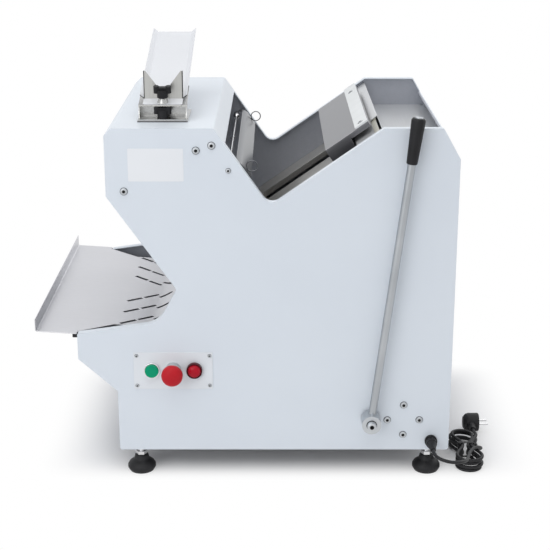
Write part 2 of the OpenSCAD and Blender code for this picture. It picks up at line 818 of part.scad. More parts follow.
// Hand lever, its shaft and the forked arms that carry the pusher's pin
hub_y1 = yn - lever_gap;
hub_y0 = hub_y1 - hub_l;
rod_y = hub_y1 - hub_l / 2;
function angle_to(p) = atan2(p[0] - lever_pivot[0], p[1] - lever_pivot[1]);
pin_rest = feed_pt(pin_s, pin_n);
pin_last = feed_pt(pin_s - pusher_travel, pin_n);
module at_lever(y, angle) {
    translate([lever_pivot[0], y, lever_pivot[1]])
        rotate([0, angle, 0])
            children();
}
module lever_hub() {
    color("silver")
        difference() {
            y_rod(lever_pivot[0], lever_pivot[1], hub_d, hub_y0, hub_y1);
            y_rod(lever_pivot[0], lever_pivot[1], lever_shaft_d, hub_y0 - 1, hub_y1 + 1);
            at_lever(rod_y, lever_lean)
                cylinder(d = lever_d, h = hub_d);
        }
}
module lever_rod() {
    color("silver")
        at_lever(rod_y, lever_lean)
            translate([0, 0, lever_shaft_d / 2])
                cylinder(d = lever_d, h = lever_l - lever_shaft_d / 2);
}
module lever_grip() {
    grip_r = grip_d / 2;
    color("black")
        at_lever(rod_y, lever_lean)
            translate([0, 0, lever_l - grip_l])
                rotate_extrude()
                    polygon([[lever_d / 2, 0], [grip_r - 4, 0], [grip_r - 3, 2], [grip_r - 1.5, grip_l * 0.5],
                             [grip_r, grip_l - 6], [grip_r - 2, grip_l - 2], [lever_d / 2, grip_l - 2]]);
}
module lever_bolt() {
    color("silver")
        y_rod(lever_pivot[0], lever_pivot[1], bolt_d, hub_y0 - bolt_h, hub_y0);
}
module lever_shaft() {
    color("silver")
        y_rod(lever_pivot[0], lever_pivot[1], lever_shaft_d, hub_y0, yif - clear);
}
module lever_bushes() {
    color("dimgray")
        for (far = [0, 1])
            difference() {
                union() {
                    if (far == 0) {
                        y_rod(lever_pivot[0], lever_pivot[1], bush_d, yn, yin + 20);
                        y_rod(lever_pivot[0], lever_pivot[1], bush_d + 14, yin, yin + 6);
                    } else
                        y_rod(lever_pivot[0], lever_pivot[1], bush_d + 14, yif - 20, yif);
                }
                y_rod(lever_pivot[0], lever_pivot[1], lever_shaft_d + 2 * run_gap, yn - 1, yf + 1);
            }
}
module shaft_bearings() {
    crank_bearing_blocks();
    lever_bushes();
}
// The pin drifts to the far side of the fork as the lever swings, so the slot is wider there
fork_run = 1;
fork_drift = 9.3;
fork_tine = 8;
fork_y = bed_slot_y + 18;
fork_t = 12;
fork_stem = 15;
fork_slot0 = -pin_d / 2 - fork_run;
fork_slot1 = pin_d / 2 + fork_drift;
fork_r0 = norm(pin_last - lever_pivot) - 16;
fork_r1 = norm(pin_rest - lever_pivot) + 2;
module fork_arm() {
    rotate([90, 0, 0])
        translate([0, 0, -fork_t / 2])
            linear_extrude(fork_t)
                difference() {
                    union() {
                        circle(d = lever_shaft_d + 24);
                        polygon([[-fork_stem, 0], [fork_stem, 0], [fork_stem, fork_r0 - 60],
                                 [fork_slot1 + fork_tine, fork_r0 - 14], [fork_slot1 + fork_tine, fork_r1],
                                 [fork_slot0 - fork_tine, fork_r1], [fork_slot0 - fork_tine, fork_r0 - 14],
                                 [-fork_stem, fork_r0 - 60]]);
                    }
                    circle(d = lever_shaft_d);
                    translate([fork_slot0, fork_r0])
                        square([fork_slot1 - fork_slot0, fork_r1]);
                }
}
module fork_arms() {
    color("gray")
        for (side = [-1, 1])
            at_lever(y_mid + side * fork_y, angle_to(pin_rest))
                fork_arm();
}
// Stop block with its post, the arm that rests on it and the return spring below the arm's end
post_d = 16;
block_t = 18;
stop_arm_y = yin + 34;
stop_arm_t = 8;
stop_arm_h = 12;
stop_arm_l = 84;
arm_hub_d = lever_shaft_d + 14;
arm_hub_side = 4;
stop_off = stop_at - lever_pivot;
stop_angle = atan2(stop_off[1], stop_off[0]) + asin((post_d / 2 + stop_arm_h / 2 + clear) / norm(stop_off));
module stop_block() {
    color("dimgray")
        difference() {
            union() {
                y_rod(stop_at[0], stop_at[1], 2 * stop_half + 18, yin, yin + block_t);
                y_rod(stop_at[0], stop_at[1], post_d, yin, stop_arm_y + stop_arm_t);
            }
            for (p = stop_bolts)
                y_rod(p[0], p[1], screw_d, yin - 1, yin + block_t + 1);
        }
}
module rest_arm() {
    color("gray")
        difference() {
            union() {
                y_rod(lever_pivot[0], lever_pivot[1], arm_hub_d,
                      stop_arm_y - arm_hub_side, stop_arm_y + stop_arm_t + arm_hub_side);
                at_lever(stop_arm_y, -stop_angle)
                    block([lever_shaft_d / 2 + 2, 0, -stop_arm_h / 2],
                          [stop_arm_l + 8, stop_arm_t, stop_arm_h / 2]);
            }
            y_rod(lever_pivot[0], lever_pivot[1], lever_shaft_d, yn, yin + 100);
        }
}
module lever_arms() {
    fork_arms();
    rest_arm();
}
spring_x = lever_pivot[0] + stop_arm_l * cos(stop_angle);
spring_top = lever_pivot[1] + stop_arm_l * sin(stop_angle) - stop_arm_h / 2 / cos(stop_angle) - 2.5;
spring_turns = 12;
spring_wire = 2.4;
spring_r = 6;
spring_z0 = base_z + spring_wire / 2 + clear;
spring_rise = (spring_top - spring_wire / 2 - spring_z0) / (8 * spring_turns);
function spring_point(i) = [spring_r * cos(45 * i), spring_r * sin(45 * i), spring_z0 + spring_rise * i];
module return_spring() {
    color("silver")
        translate([spring_x, stop_arm_y + stop_arm_t / 2, 0])
            tube([for (i = [0 : 8 * spring_turns]) spring_point(i)], spring_wire, 6);
}
// A round tube swept along points that never run straight up
function tangent(p, i) = unit(p[min(i + 1, len(p) - 1)] - p[max(i - 1, 0)]);
module tube(p, d, sides) {
    k = len(p);
    rings = [for (i = [0 : k - 1])
        let (t = tangent(p, i), u = unit(cross([0, 0, 1], t)), v = cross(t, u))
            for (j = [0 : sides - 1]) p[i] + d / 2 * (cos(360 * j / sides) * u + sin(360 * j / sides) * v)];
    walls = [for (i = [0 : k - 2], j = [0 : sides - 1])
        let (a = i * sides + j, b = i * sides + (j + 1) % sides)
            each [[a, a + sides, b], [b, a + sides, b + sides]]];
    last = (k - 1) * sides;
    caps = [for (j = [1 : sides - 2]) each [[0, j, j + 1], [last, last + j + 1, last + j]]];
    polyhedron(rings, concat(walls, caps), convexity = 10);
}

// Control plate with a start button, a stop mushroom and a lamp
plate_t = 1.2;
plate_y = yn - plate_t;
barrel_l = 22;
contact_size = [30, 38, 44];
stem_d = 8;
plate_mid = [x_front + plate_x, z_bot + plate_z];
plate_screw = [plate_w / 2 - 6, plate_h / 2 - 7];
plate_screw_d = 6.5;
plate_screw_h = 2;
module control_plate() {
    color("whitesmoke")
        difference() {
            block([plate_mid[0] - plate_w / 2, plate_y, plate_mid[1] - plate_h / 2],
                  [plate_mid[0] + plate_w / 2, yn, plate_mid[1] + plate_h / 2]);
            for (x = control_x)
                y_rod(x, control_z, control_hole_d, plate_y - 1, yn + 1);
        }
}
module plate_screw_set() {
    color("silver")
        for (i = [-1, 1], k = [-1, 1])
            y_rod(plate_mid[0] + i * plate_screw[0], plate_mid[1] + k * plate_screw[1],
                  plate_screw_d, plate_y - plate_screw_h, plate_y);
}
// A bezel in front of the plate and the barrel that passes through the panel
module control_body(x, ring_d, ring_l, ring_bore) {
    difference() {
        union() {
            y_rod(x, control_z, ring_d, plate_y - ring_l, plate_y);
            y_rod(x, control_z, control_hole_d, plate_y, yin + barrel_l);
        }
        y_rod(x, control_z, ring_bore, plate_y - ring_l - 1, plate_y - clear);
        y_rod(x, control_z, stem_d + 2 * clear, plate_y - 1, yin + barrel_l + 1);
    }
}
start_proud = 10;
module start_ring() {
    color("silver")
        control_body(control_x[0], bezel_d, 6, start_d + 2 * clear);
}
module start_button() {
    color("green") {
        y_rod(control_x[0], control_z, start_d, plate_y - start_proud, plate_y - button_travel - 2 * clear);
        y_rod(control_x[0], control_z, stem_d, plate_y - button_travel - 2 * clear, yin + barrel_l);
    }
}
stop_collar_l = 14;
stop_front = 45;
module stop_ring() {
    color("black")
        control_body(control_x[1], bezel_d, stop_collar_l, stem_d + 2 * clear);
}
stop_h = 20;
module stop_button() {
    color("red") {
        translate([control_x[1], yn - stop_front, control_z])
            rotate([-90, 0, 0])
                rotate_extrude()
                    polygon([[0, 0], [stop_d / 2 - 12, 0.8], [stop_d / 2 - 5, 3], [stop_d / 2 - 1, 7],
                             [stop_d / 2, 11], [stop_d / 2, 17], [stop_d / 2 - 3, stop_h], [0, stop_h]]);
        y_rod(control_x[1], control_z, stem_d, yn - stop_front + stop_h, yin + barrel_l);
    }
}
module lamp_ring() {
    color("darkred")
        control_body(control_x[2], bezel_d, 9, bezel_d - 5);
}
module control_bezels() {
    start_ring();
    stop_ring();
    lamp_ring();
}
lens_r = bezel_d / 2 - 2.8;
module lamp_lens() {
    color("crimson")
        translate([control_x[2], plate_y - clear, control_z])
            rotate([90, 0, 0])
                rotate_extrude()
                    polygon([[0, 0], [lens_r, 0], [lens_r, 9], [lens_r - 2.2, 13], [6, 15], [0, 15.4]]);
}
module contact_blocks() {
    color("dimgray")
        for (x = control_x)
            difference() {
                block([x - contact_size[0] / 2, yin + barrel_l, control_z - contact_size[2] / 2],
                      [x + contact_size[0] / 2, yin + barrel_l + contact_size[1],
                       control_z + contact_size[2] / 2]);
                y_rod(x, control_z, stem_d + 2 * clear, yin, yin + barrel_l + button_travel + 6);
            }
}
// Button-head screws; side is -1 on the near panel and 1 on the far one
module panel_screw(p, side, head_d, shank) {
    y = side < 0 ? yn : yf;
    y_rod(p[0], p[1], head_d, side < 0 ? y - screw_h : y, side < 0 ? y : y + screw_h);
    if (shank > 0)
        y_rod(p[0], p[1], screw_d, side < 0 ? y : y - shank, side < 0 ? y + shank : y);
}
module side_screw_set() {
    color("silver")
        for (side = [-1, 1]) {
            for (p = screw_at)
                panel_screw(p, side, screw_head_d, 10);
            panel_screw(flap_pivot, side, 9, 0);
        }
}
module stop_bolt_set() {
    color("silver")
        for (p = stop_bolts)
            panel_screw(p, -1, screw_head_d, sheet_t + block_t);
}
module panel_screws() {
    plate_screw_set();
    side_screw_set();
    stop_bolt_set();
}

// Hold-down flap: two arms with knuckles on the rod carry a curved plate with two wire pull rings
flap_half = 255;
flap_arm_w = 16;
knuckle_d = flap_rod_d + 6;
flap_t = 1.5;
flap_edge_s = -6;
flap_low = 58;
flap_bend = 16;
flap_top_n = flap_n + knuckle_d / 2 - flap_t;
flap_face_s = -2;
ring_r = 10;
wire_d = 2;
ring_y = 240;
// A ball near the rod's far end and a collar at its middle
rod_ball_d = 14;
rod_ball_y = yif - 50;
rod_collar_d = 9;
module flap_rod() {
    color("silver") {
        y_rod(flap_pivot[0], flap_pivot[1], flap_rod_d, yin, yif);
        y_rod(flap_pivot[0], flap_pivot[1], rod_collar_d,
              y_mid - rod_collar_d / 2, y_mid + rod_collar_d / 2);
        translate([flap_pivot[0], rod_ball_y, flap_pivot[1]])
            sphere(d = rod_ball_d);
    }
}
module flap_sheet() {
    color("lightgray")
        at_feed()
            translate([0, y_mid, 0])
                difference() {
                    union() {
                        translate([flap_s, -flap_half, flap_n])
                            rotate([-90, 0, 0])
                                cylinder(d = knuckle_d, h = 2 * flap_half);
                        side_plate(-flap_half, flap_half, band(rounded_path([
                            [flap_s, flap_top_n], [flap_face_s, flap_top_n, flap_bend],
                            [flap_face_s, flap_low]]), flap_t));
                    }
                    translate([flap_s, -flap_half - 1, flap_n])
                        rotate([-90, 0, 0])
                            cylinder(d = flap_rod_d + 2 * run_gap, h = 2 * flap_half + 2);
                    block([flap_s - knuckle_d, flap_arm_w - flap_half, flap_n - knuckle_d],
                          [flap_edge_s, flap_half - flap_arm_w, flap_n + knuckle_d]);
                }
}
module flap_rings() {
    color("silver")
        at_feed()
            translate([flap_face_s + flap_t, y_mid, flap_low + 14])
                for (side = [-1, 1])
                    translate([0, side * ring_y, 0]) {
                        block([0, -2, -3], [2.5, 2, 3]);
                        translate([ring_r + 1.5, 0, 0])
                            rotate([90, 0, 0])
                                rotate_extrude()
                                    translate([ring_r, 0])
                                        circle(d = wire_d, $fn = 24);
                    }
}
module hold_down_flap() {
    flap_sheet();
    flap_rings();
}

// Bagging scoop on its bracket, held by two wing knobs
scoop_x = x_head + 101;
scoop_y = yn + 94;
base_y0 = yn + 57;
base_d = 112;
base_plate_t = 3;
base_top = z_top + base_plate_t;
ear_low = z_top + 36;
ear_top = z_top + 88;
ear_w = 72;
ear_tip_w = 4;
notch_w = 22;
notch_h = 28;
ear_lip = 6;
shelf_w = 88;
shelf_back = 60;
bracket_t = 2;
bracket_foot = 36;
shelf_reach = 27;
near_knob_y = 25;
far_knob_y = 16;
scoop_t = 1.5;
knob_stud_d = 8;
knob_stud_l = 12;
knob_d = 20;
knob_h = 21;
wing_reach = 11;
wing_d = 10;
wing_h = 13;
spacer_h = 10;
spacer_d = [20, 13];
module scoop_base() {
    color("silver")
        block([scoop_x - scoop_base_w / 2, base_y0, z_top],
              [scoop_x + scoop_base_w / 2, base_y0 + base_d, base_top]);
}
module at_scoop() {
    translate([scoop_x, scoop_y, ear_low])
        rotate([scoop_rise, 0, 0])
            children();
}
// Side wall of the bracket, from the foot up to the sloping shelf
module bracket_wall(x) {
    front = -shelf_reach * cos(scoop_rise);
    translate([x, scoop_y, 0])
        rotate([90, 0, 90])
            linear_extrude(bracket_t)
                polygon([[front, base_top], [0, base_top], [0, ear_low - bracket_t / 2],
                         [front, ear_low + front * tan(scoop_rise) - bracket_t / 2]]);
}
// A foot under the near knob, a back plate, two side walls and a sloping shelf with the far knob's stud
module scoop_bracket() {
    color("silver") {
        block([scoop_x - shelf_w / 2, scoop_y - bracket_foot, base_top],
              [scoop_x + shelf_w / 2, scoop_y, base_top + bracket_t]);
        block([scoop_x - shelf_w / 2, scoop_y, base_top],
              [scoop_x + shelf_w / 2, scoop_y + bracket_t, ear_low - bracket_t / 2]);
        for (x = [scoop_x - shelf_w / 2, scoop_x + shelf_w / 2 - bracket_t])
            bracket_wall(x);
        at_scoop() {
            block([-shelf_w / 2, -shelf_reach, -bracket_t], [shelf_w / 2, shelf_back, 0]);
            translate([0, -far_knob_y, -bracket_t / 2])
                cylinder(d = knob_stud_d, h = bracket_t / 2 + scoop_t + spacer_h + knob_stud_l);
            translate([0, -far_knob_y, scoop_t + clear])
                cylinder(d1 = spacer_d[0], d2 = spacer_d[1], h = spacer_h - clear);
        }
        translate([scoop_x, scoop_y - near_knob_y, base_top + bracket_t / 2])
            cylinder(d = knob_stud_d, h = knob_stud_l + bracket_t / 2);
    }
}
// Upright plate with two ears on either side of a notch, each with a lip bent back along its outer edge
module scoop_ears() {
    half = ear_w / 2;
    translate([scoop_x, scoop_y, 0]) {
        rotate([90, 0, 0])
            linear_extrude(scoop_t)
                polygon([[-half, ear_low], [half, ear_low], [half, ear_top], [half - ear_tip_w, ear_top],
                         [notch_w / 2, ear_top - notch_h], [-notch_w / 2, ear_top - notch_h],
                         [ear_tip_w - half, ear_top], [-half, ear_top]]);
        for (x = [-half, half - scoop_t])
            block([x, -scoop_t / 2, ear_low + scoop_wall + 4], [x + scoop_t, ear_lip, ear_top]);
    }
}
// A long trough with shallow flared sides, the plate with ears and a tab under the far knob
module bagging_scoop() {
    half = scoop_w / 2;
    color("white")
        difference() {
            union() {
                at_scoop() {
                    side_plate(-scoop_t / 2, scoop_l, band([[-half, scoop_wall], [scoop_flare - half, 0],
                        [half - scoop_flare, 0], [half, scoop_wall]], scoop_t));
                    block([-ear_w / 2, -shelf_reach, 0], [ear_w / 2, 0, scoop_t]);
                }
                scoop_ears();
            }
            at_scoop()
                translate([0, -far_knob_y, -1])
                    cylinder(d = knob_stud_d + 1, h = scoop_t + 2);
        }
}
module wing_knob() {
    difference() {
        union() {
            cylinder(d = knob_d, h = knob_h - wing_h / 2);
            translate([-wing_reach, -wing_d / 2 + 0.5, knob_h - wing_h])
                cube([2 * wing_reach, wing_d - 1, wing_h - 2]);
            for (side = [-1, 1])
                translate([side * wing_reach, 0, knob_h - wing_h])
                    cylinder(d = wing_d, h = wing_h);
        }
        translate([0, 0, -1])
            cylinder(d = knob_stud_d + 2 * run_gap, h = knob_stud_l + 1.5);
    }
}
module near_knob() {
    color("black")
        translate([scoop_x, scoop_y - near_knob_y, base_top + bracket_t + clear])
            wing_knob();
}
module far_knob() {
    color("black")
        at_scoop()
            translate([0, -far_knob_y, scoop_t + spacer_h + clear])
                wing_knob();
}

// Mains cord: gland, free lead, hank with its tie, and an angled plug
gland_l = 45;
module cord_gland() {
    color("black")
        translate([gland_at[0], yn, gland_at[1]])
            rotate([90, 0, 0])
                difference() {
                    union() {
                        translate([0, 0, -12])
                            cylinder(d = gland_hole_d, h = 14);
                        cylinder(d = 24, h = 6);
                        translate([0, 0, 6])
                            cylinder(d = 20, h = 12);
                        translate([0, 0, 18])
                            cylinder(d1 = 18, d2 = cord_d + 3, h = gland_l - 18);
                    }
                    translate([0, 0, -13])
                        cylinder(d = cord_d, h = gland_l);
                }
}
lead_points = [
    [356, -304, 74], [356, -316, 74], [360, -330, 73], [370, -341, 72], [384, -345, 70], [398, -340, 67],
    [409, -329, 63], [417, -314, 58], [422, -297, 53], [426, -279, 48], [430, -261, 44], [435, -243, 41],
    [442, -226, 39], [451, -210, 36], [460, -196, 30], [466, -182, 22], [468, -168, 14], [467, -154, 8],
    [465, -144, 6], [464, -135, 5], [464, -126, 5]];
module cord_lead() {
    color("black")
        tube(lead_points, cord_d, 8);
}
// The hank: loops with two runs and two folds, each layer spiralling in or out by one step
hank_x = 437;
hank_y = -176;
hank_z = 5;
hank_run = 100;
hank_r0 = 27;
hank_step = 7.2;
hank_loops = 4;
hank_waist = 16;
fold_share = 0.21;
loop_rings = 24;
hank_tail = 36;
plug_z = 19.4;
function fraction(u) = u - floor(u);
function spiral_r(u) = hank_r0 - hank_step * (1 - abs(1 - 2 * fraction(u / 2)));
function layer(u) = let (k = floor(u + 0.5), d = u - k) k < 1 ? 0 : k > hank_loops - 1 ? hank_loops - 1
    : k - 1 + (abs(d) < 0.25 ? 0.5 + 2 * d : d > 0 ? 1 : 0);
function layer_z(u) = hank_z + hank_step * layer(u);
function waist(q) = hank_waist * (1 + cos(180 * q)) / 2;
function hank_point(u) =
    let (f = fraction(u), r = spiral_r(u), z = layer_z(u), h = hank_run / 2, run = 0.5 - fold_share)
    f < fold_share ? let (a = 180 * f / fold_share) [hank_x + r * cos(a), hank_y + h + r * sin(a), z]
    : f < 0.5 ? let (q = 1 - 2 * (f - fold_share) / run) [hank_x - r + waist(q), hank_y + h * q, z]
    : f < 0.5 + fold_share ? let (a = 180 + 180 * (f - 0.5) / fold_share)
        [hank_x + r * cos(a), hank_y - h + r * sin(a), z]
    : let (q = -1 + 2 * (f - 0.5 - fold_share) / run) [hank_x + r - waist(q), hank_y + h * q, z];
hank_last = hank_loops - 1 / loop_rings / 4;
hank_end = [hank_x + hank_r0, hank_y + hank_run / 2 + hank_tail, plug_z];
hank_points = concat(
    [for (i = [0 : hank_loops * loop_rings - 1]) hank_point(i / loop_rings)],
    [hank_point(hank_last), hank_end - [0, hank_tail * 0.6, -3], hank_end - [0, hank_tail * 0.3, 0],
     hank_end]);
// Least gap of the hank to itself, between rings more than half a loop apart
hank_gap = min([for (i = [0 : len(hank_points) - 1], j = [i + 10 : 1 : len(hank_points) - 1])
    norm(hank_points[i] - hank_points[j])]) - cord_d;
echo(hank_gap = hank_gap);
module cord_hank() {
    color("black")
        tube(hank_points, cord_d, 6);
}
tie_w = 6;
tie_t = 1.2;
tie_x = hank_r0 - hank_waist + cord_d / 2 + 0.4;
tie_z0 = hank_z - cord_d / 2 - 0.4;
tie_z1 = hank_z + (hank_loops - 1) * hank_step + cord_d / 2 + 0.6;
module cord_tie() {
    color("dimgray")
        translate([hank_x, hank_y, 0])
            difference() {
                block([-tie_x - tie_t, -tie_w / 2, tie_z0 - tie_t],
                      [tie_x + tie_t, tie_w / 2, tie_z1 + tie_t]);
                block([-tie_x, -tie_w, tie_z0], [tie_x, tie_w, tie_z1]);
            }
}
plug_d = 38;
plug_boss = 22;
plug_l = 32;
plug_at = hank_end + [0, plug_boss + plug_d / 2 - 3, 0];
module plug() {
    color("black")
        translate(plug_at)
            difference() {
                union() {
                    translate([-16, 0, 0])
                        rotate([0, 90, 0])
                            rotate_extrude()
                                polygon([[0, 0], [plug_d / 2 - 8, 0], [plug_d / 2 - 2, 5], [plug_d / 2, 11],
                                         [plug_d / 2, plug_l - 2], [plug_d / 2 - 1, plug_l], [0, plug_l]]);
                    translate([0, -plug_boss - plug_d / 2 + 3, 0])
                        rotate([-90, 0, 0])
                            cylinder(d1 = cord_d + 5, d2 = 17, h = plug_boss + 8);
                }
                for (side = [-1, 1])
                    translate([6, side * 9.5, 0])
                        rotate([0, 90, 0])
                            cylinder(d = plug_pin_d, h = 20);
            }
}
plug_pin_d = 4.8;
module plug_pins() {
    color("silver")
        translate(plug_at)
            for (side = [-1, 1])
                translate([6, side * 9.5, 0])
                    rotate([0, 90, 0])
                        cylinder(d = plug_pin_d, h = 29);
}

near_side_panel();
far_side_panel();
top_cover();
outfeed_hood();
chin_cover();
rear_cover();
rear_deck();
upper_deck();
base_plate();
rubber_pads();
foot_studs();
output_tray();
feed_bed();
cross_beams();
guide_rods();
pusher_plate();
pusher_strip();
pusher_carriage();
front_blade_frame();
rear_blade_frame();
front_blades();
rear_blades();
crankshaft();
shaft_bearings();
front_connecting_rod();
rear_connecting_rod();
crank_pulley();
motor_pulley();
motor_shaft();
drive_belt();
motor();
motor_cradle();
lever_hub();
lever_rod();
lever_grip();
lever_bolt();
lever_shaft();
lever_arms();
stop_block();
return_spring();
control_plate();
control_bezels();
start_button();
stop_button();
lamp_lens();
contact_blocks();
panel_screws();
flap_rod();
hold_down_flap();
scoop_base();
scoop_bracket();
bagging_scoop();
near_knob();
far_knob();
cord_gland();
cord_lead();
cord_hank();
cord_tie();
plug();
plug_pins();
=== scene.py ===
import bmesh
import bpy
import json
import math
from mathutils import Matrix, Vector


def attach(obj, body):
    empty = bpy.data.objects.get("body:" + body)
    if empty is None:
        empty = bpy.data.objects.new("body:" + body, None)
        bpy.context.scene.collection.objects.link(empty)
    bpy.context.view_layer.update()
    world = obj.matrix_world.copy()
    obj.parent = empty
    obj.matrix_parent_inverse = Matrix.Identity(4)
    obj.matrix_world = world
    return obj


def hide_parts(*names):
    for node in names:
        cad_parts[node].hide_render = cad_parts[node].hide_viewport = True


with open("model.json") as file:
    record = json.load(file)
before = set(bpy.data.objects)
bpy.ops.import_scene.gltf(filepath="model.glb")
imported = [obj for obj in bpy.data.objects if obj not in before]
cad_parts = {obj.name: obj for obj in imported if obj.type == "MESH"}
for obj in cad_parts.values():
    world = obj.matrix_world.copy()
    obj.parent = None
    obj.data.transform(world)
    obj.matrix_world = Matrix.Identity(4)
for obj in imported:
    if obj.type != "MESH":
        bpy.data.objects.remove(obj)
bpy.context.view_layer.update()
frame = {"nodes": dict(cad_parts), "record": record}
cadNodes = frame["nodes"]
record = frame["record"]
bodyOf = {node: body for body, group in record["behaviour"]["bodies"].items() for node in group}
print("frame loaded with", len(cadNodes), "pieces")


class Wire:
    def __init__(self, finish, socket):
        self.finish = finish
        self.socket = socket

    def sum(self, operation, first, second):
        return self.finish.add("ShaderNodeMath", {"operation": operation}, {0: first, 1: second})

    def __add__(self, other):
        return self.sum("ADD", self, other)

    def __radd__(self, other):
        return self.sum("ADD", other, self)

    def __sub__(self, other):
        return self.sum("SUBTRACT", self, other)

    def __rsub__(self, other):
        return self.sum("SUBTRACT", other, self)

    def __mul__(self, other):
        return self.sum("MULTIPLY", self, other)

    def __rmul__(self, other):
        return self.sum("MULTIPLY", other, self)

    def __gt__(self, other):
        return self.sum("GREATER_THAN", self, other)

    def __lt__(self, other):
        return self.sum("LESS_THAN", self, other)


class Finish:
    def __init__(self, name):
        self.material = bpy.data.materials.new(name)
        self.material.use_nodes = True
        self.tree = self.material.node_tree
        self.shader = self.tree.nodes["Principled BSDF"]

    # any node: its type, its settings first, then the values or links of its sockets
    def add(self, kind, settings=None, inputs=None, output=0):
        node = self.tree.nodes.new(kind)
        for key, value in (settings or {}).items():
            if key == "stops":
                self.setStops(node.color_ramp, value)
            else:
                setattr(node, key, value)
        for key, value in (inputs or {}).items():
            self.feed(node.inputs[key], value)
        return Wire(self, node.outputs[output])

    def setStops(self, ramp, stops):
        while len(ramp.elements) < len(stops):
            ramp.elements.new(1)
        for element, (position, shade) in zip(ramp.elements, stops):
            element.position = position
            element.color = solid(shade)

    def feed(self, socket, value):
        if isinstance(value, Wire):
            self.tree.links.new(value.socket, socket)
        else:
            socket.default_value = value

    def surface(self, **sockets):
        for key, value in sockets.items():
            self.feed(self.shader.inputs[socketNames[key]], value)
        return self.material


socketNames = {
    "colour": "Base Color", "roughness": "Roughness", "metallic": "Metallic", "normal": "Normal",
    "coat": "Coat Weight", "coatRoughness": "Coat Roughness", "specular": "Specular IOR Level"}


def solid(colour):
    return (*colour, 1.0)


# places on the object, in metres, turned down a slope and stretched along each axis
def place(finish, scale=(1, 1, 1), slope=0.0):
    spot = finish.add("ShaderNodeTexCoord", output="Object")
    if slope:
        spot = finish.add("ShaderNodeMapping", {}, {"Vector": spot, "Rotation": (0, math.radians(slope), 0)})
    return finish.add("ShaderNodeMapping", {}, {"Vector": spot, "Scale": scale})


def noise(finish, where, scale, detail=3.0, rough=0.55):
    return finish.add("ShaderNodeTexNoise", {}, {
        "Vector": where, "Scale": scale, "Detail": detail, "Roughness": rough})


# a tone between a look's two colours, led by a noise
def toneOf(finish, value, look):
    start, end = look["toneSpan"]
    stops = ((start, look["low"]), (end, look["high"]))
    return finish.add("ShaderNodeValToRGB", {"stops": stops}, {"Fac": value})


def blendColour(finish, factor, tone, colour):
    return finish.add("ShaderNodeMix", {"data_type": "RGBA"}, {0: factor, 6: tone, 7: solid(colour)},
                      output=2)


def bump(finish, height, depth, strength):
    return finish.add("ShaderNodeBump", {}, {"Height": height, "Distance": depth, "Strength": strength})


rubbing = {"samples": 4, "flat": 0.985, "edge": 0.80, "detail": 4}


# where a hand or a cloth rubs: near the edges, broken up by a coarse noise
def edgeWear(finish, look):
    soft = finish.add("ShaderNodeBevel", {"samples": rubbing["samples"]}, {"Radius": look["wearReach"]})
    straight = finish.add("ShaderNodeNewGeometry", output="Normal")
    along = finish.add("ShaderNodeVectorMath", {"operation": "DOT_PRODUCT"}, {0: soft, 1: straight},
                       output="Value")
    edge = finish.add("ShaderNodeMapRange", {}, {
        "Value": along, "From Min": rubbing["flat"], "From Max": rubbing["edge"]})
    return edge * noise(finish, place(finish), look["wearBreak"], rubbing["detail"]) * look["wear"]


# sprayed paint: soft cloud of tone, orange peel, rubbed edges, a little dust low down
def sprayedPaint(name, look):
    f = Finish(name)
    where = place(f)
    cloud = noise(f, where, look["cloudScale"], detail=4)
    tone = toneOf(f, cloud, look)
    height = f.add("ShaderNodeSeparateXYZ", {}, {0: where}, output="Z")
    dust = f.add("ShaderNodeMapRange", {}, {
        "Value": height, "From Min": look["dustTop"], "From Max": look["dustLow"]})
    tone = blendColour(f, dust * cloud * look["dust"], tone, look["dustColour"])
    tone = blendColour(f, edgeWear(f, look), tone, look["wearColour"])
    peel = noise(f, where, look["peelScale"], detail=2)
    return f.surface(colour=tone, roughness=look["rough"] + cloud * look["roughSpread"],
                     normal=bump(f, peel, look["peelDepth"], look["peelStrength"]),
                     coat=look["coat"], coatRoughness=look["coatRough"])


# rolled or brushed sheet: long grain lines along one axis, with rubbed patches
def brushedSheet(name, look):
    f = Finish(name)
    where = place(f, look["grain"], look["slope"])
    lines = noise(f, where, 1.0, detail=5, rough=0.7)
    patches = noise(f, place(f), look["patchScale"])
    tone = toneOf(f, lines * look["lineShare"] + patches * (1 - look["lineShare"]), look)
    # past a distance either side of a middle in X the colour turns dark: a painted shade band
    if "shadeBandAt" in look:
        across = f.add("ShaderNodeSeparateXYZ", {}, {0: place(f)}, output="X") - look["shadeBandAt"]
        apart = f.add("ShaderNodeMath", {"operation": "ABSOLUTE"}, {0: across})
        tone = blendColour(f, apart > look["shadeBandFrom"], tone, look["shadeBandColour"])
    worn = edgeWear(f, look)
    tone = blendColour(f, worn, tone, look["wearColour"])
    uneven = look["rough"] + lines * look["roughSpread"] + patches * look["patchRough"]
    return f.surface(colour=tone, metallic=look["metal"], roughness=uneven - worn * look["wearPolish"],
                     normal=bump(f, lines, look["depth"], look["strength"]))


# turned or drawn bar: faint rings across the axis
def turnedBar(name, look):
    f = Finish(name)
    rings = noise(f, place(f, look["rings"]), 1.0, detail=4, rough=0.6)
    smear = noise(f, place(f), look["smearScale"])
    return f.surface(colour=toneOf(f, smear, look), metallic=1.0,
                     roughness=look["rough"] + rings * look["ringRough"] + smear * look["smear"],
                     normal=bump(f, rings, look["depth"], look["strength"]))


# moulded plastic or rubber: fine skin texture, slightly uneven gloss
def moulded(name, look):
    f = Finish(name)
    where = place(f)
    skin = noise(f, where, look["skinScale"])
    wear = noise(f, where, look["wearScale"], detail=4)
    return f.surface(colour=toneOf(f, wear, look), roughness=look["rough"] + wear * look["roughSpread"],
                     normal=bump(f, skin, look["depth"], look["strength"]), specular=look["specular"],
                     coat=look["coat"], coatRoughness=look["coatRough"])


weld = {"reach": 2e-6, "flat": 0.6}
rounding = {"angle": 32, "flatWeight": 100}
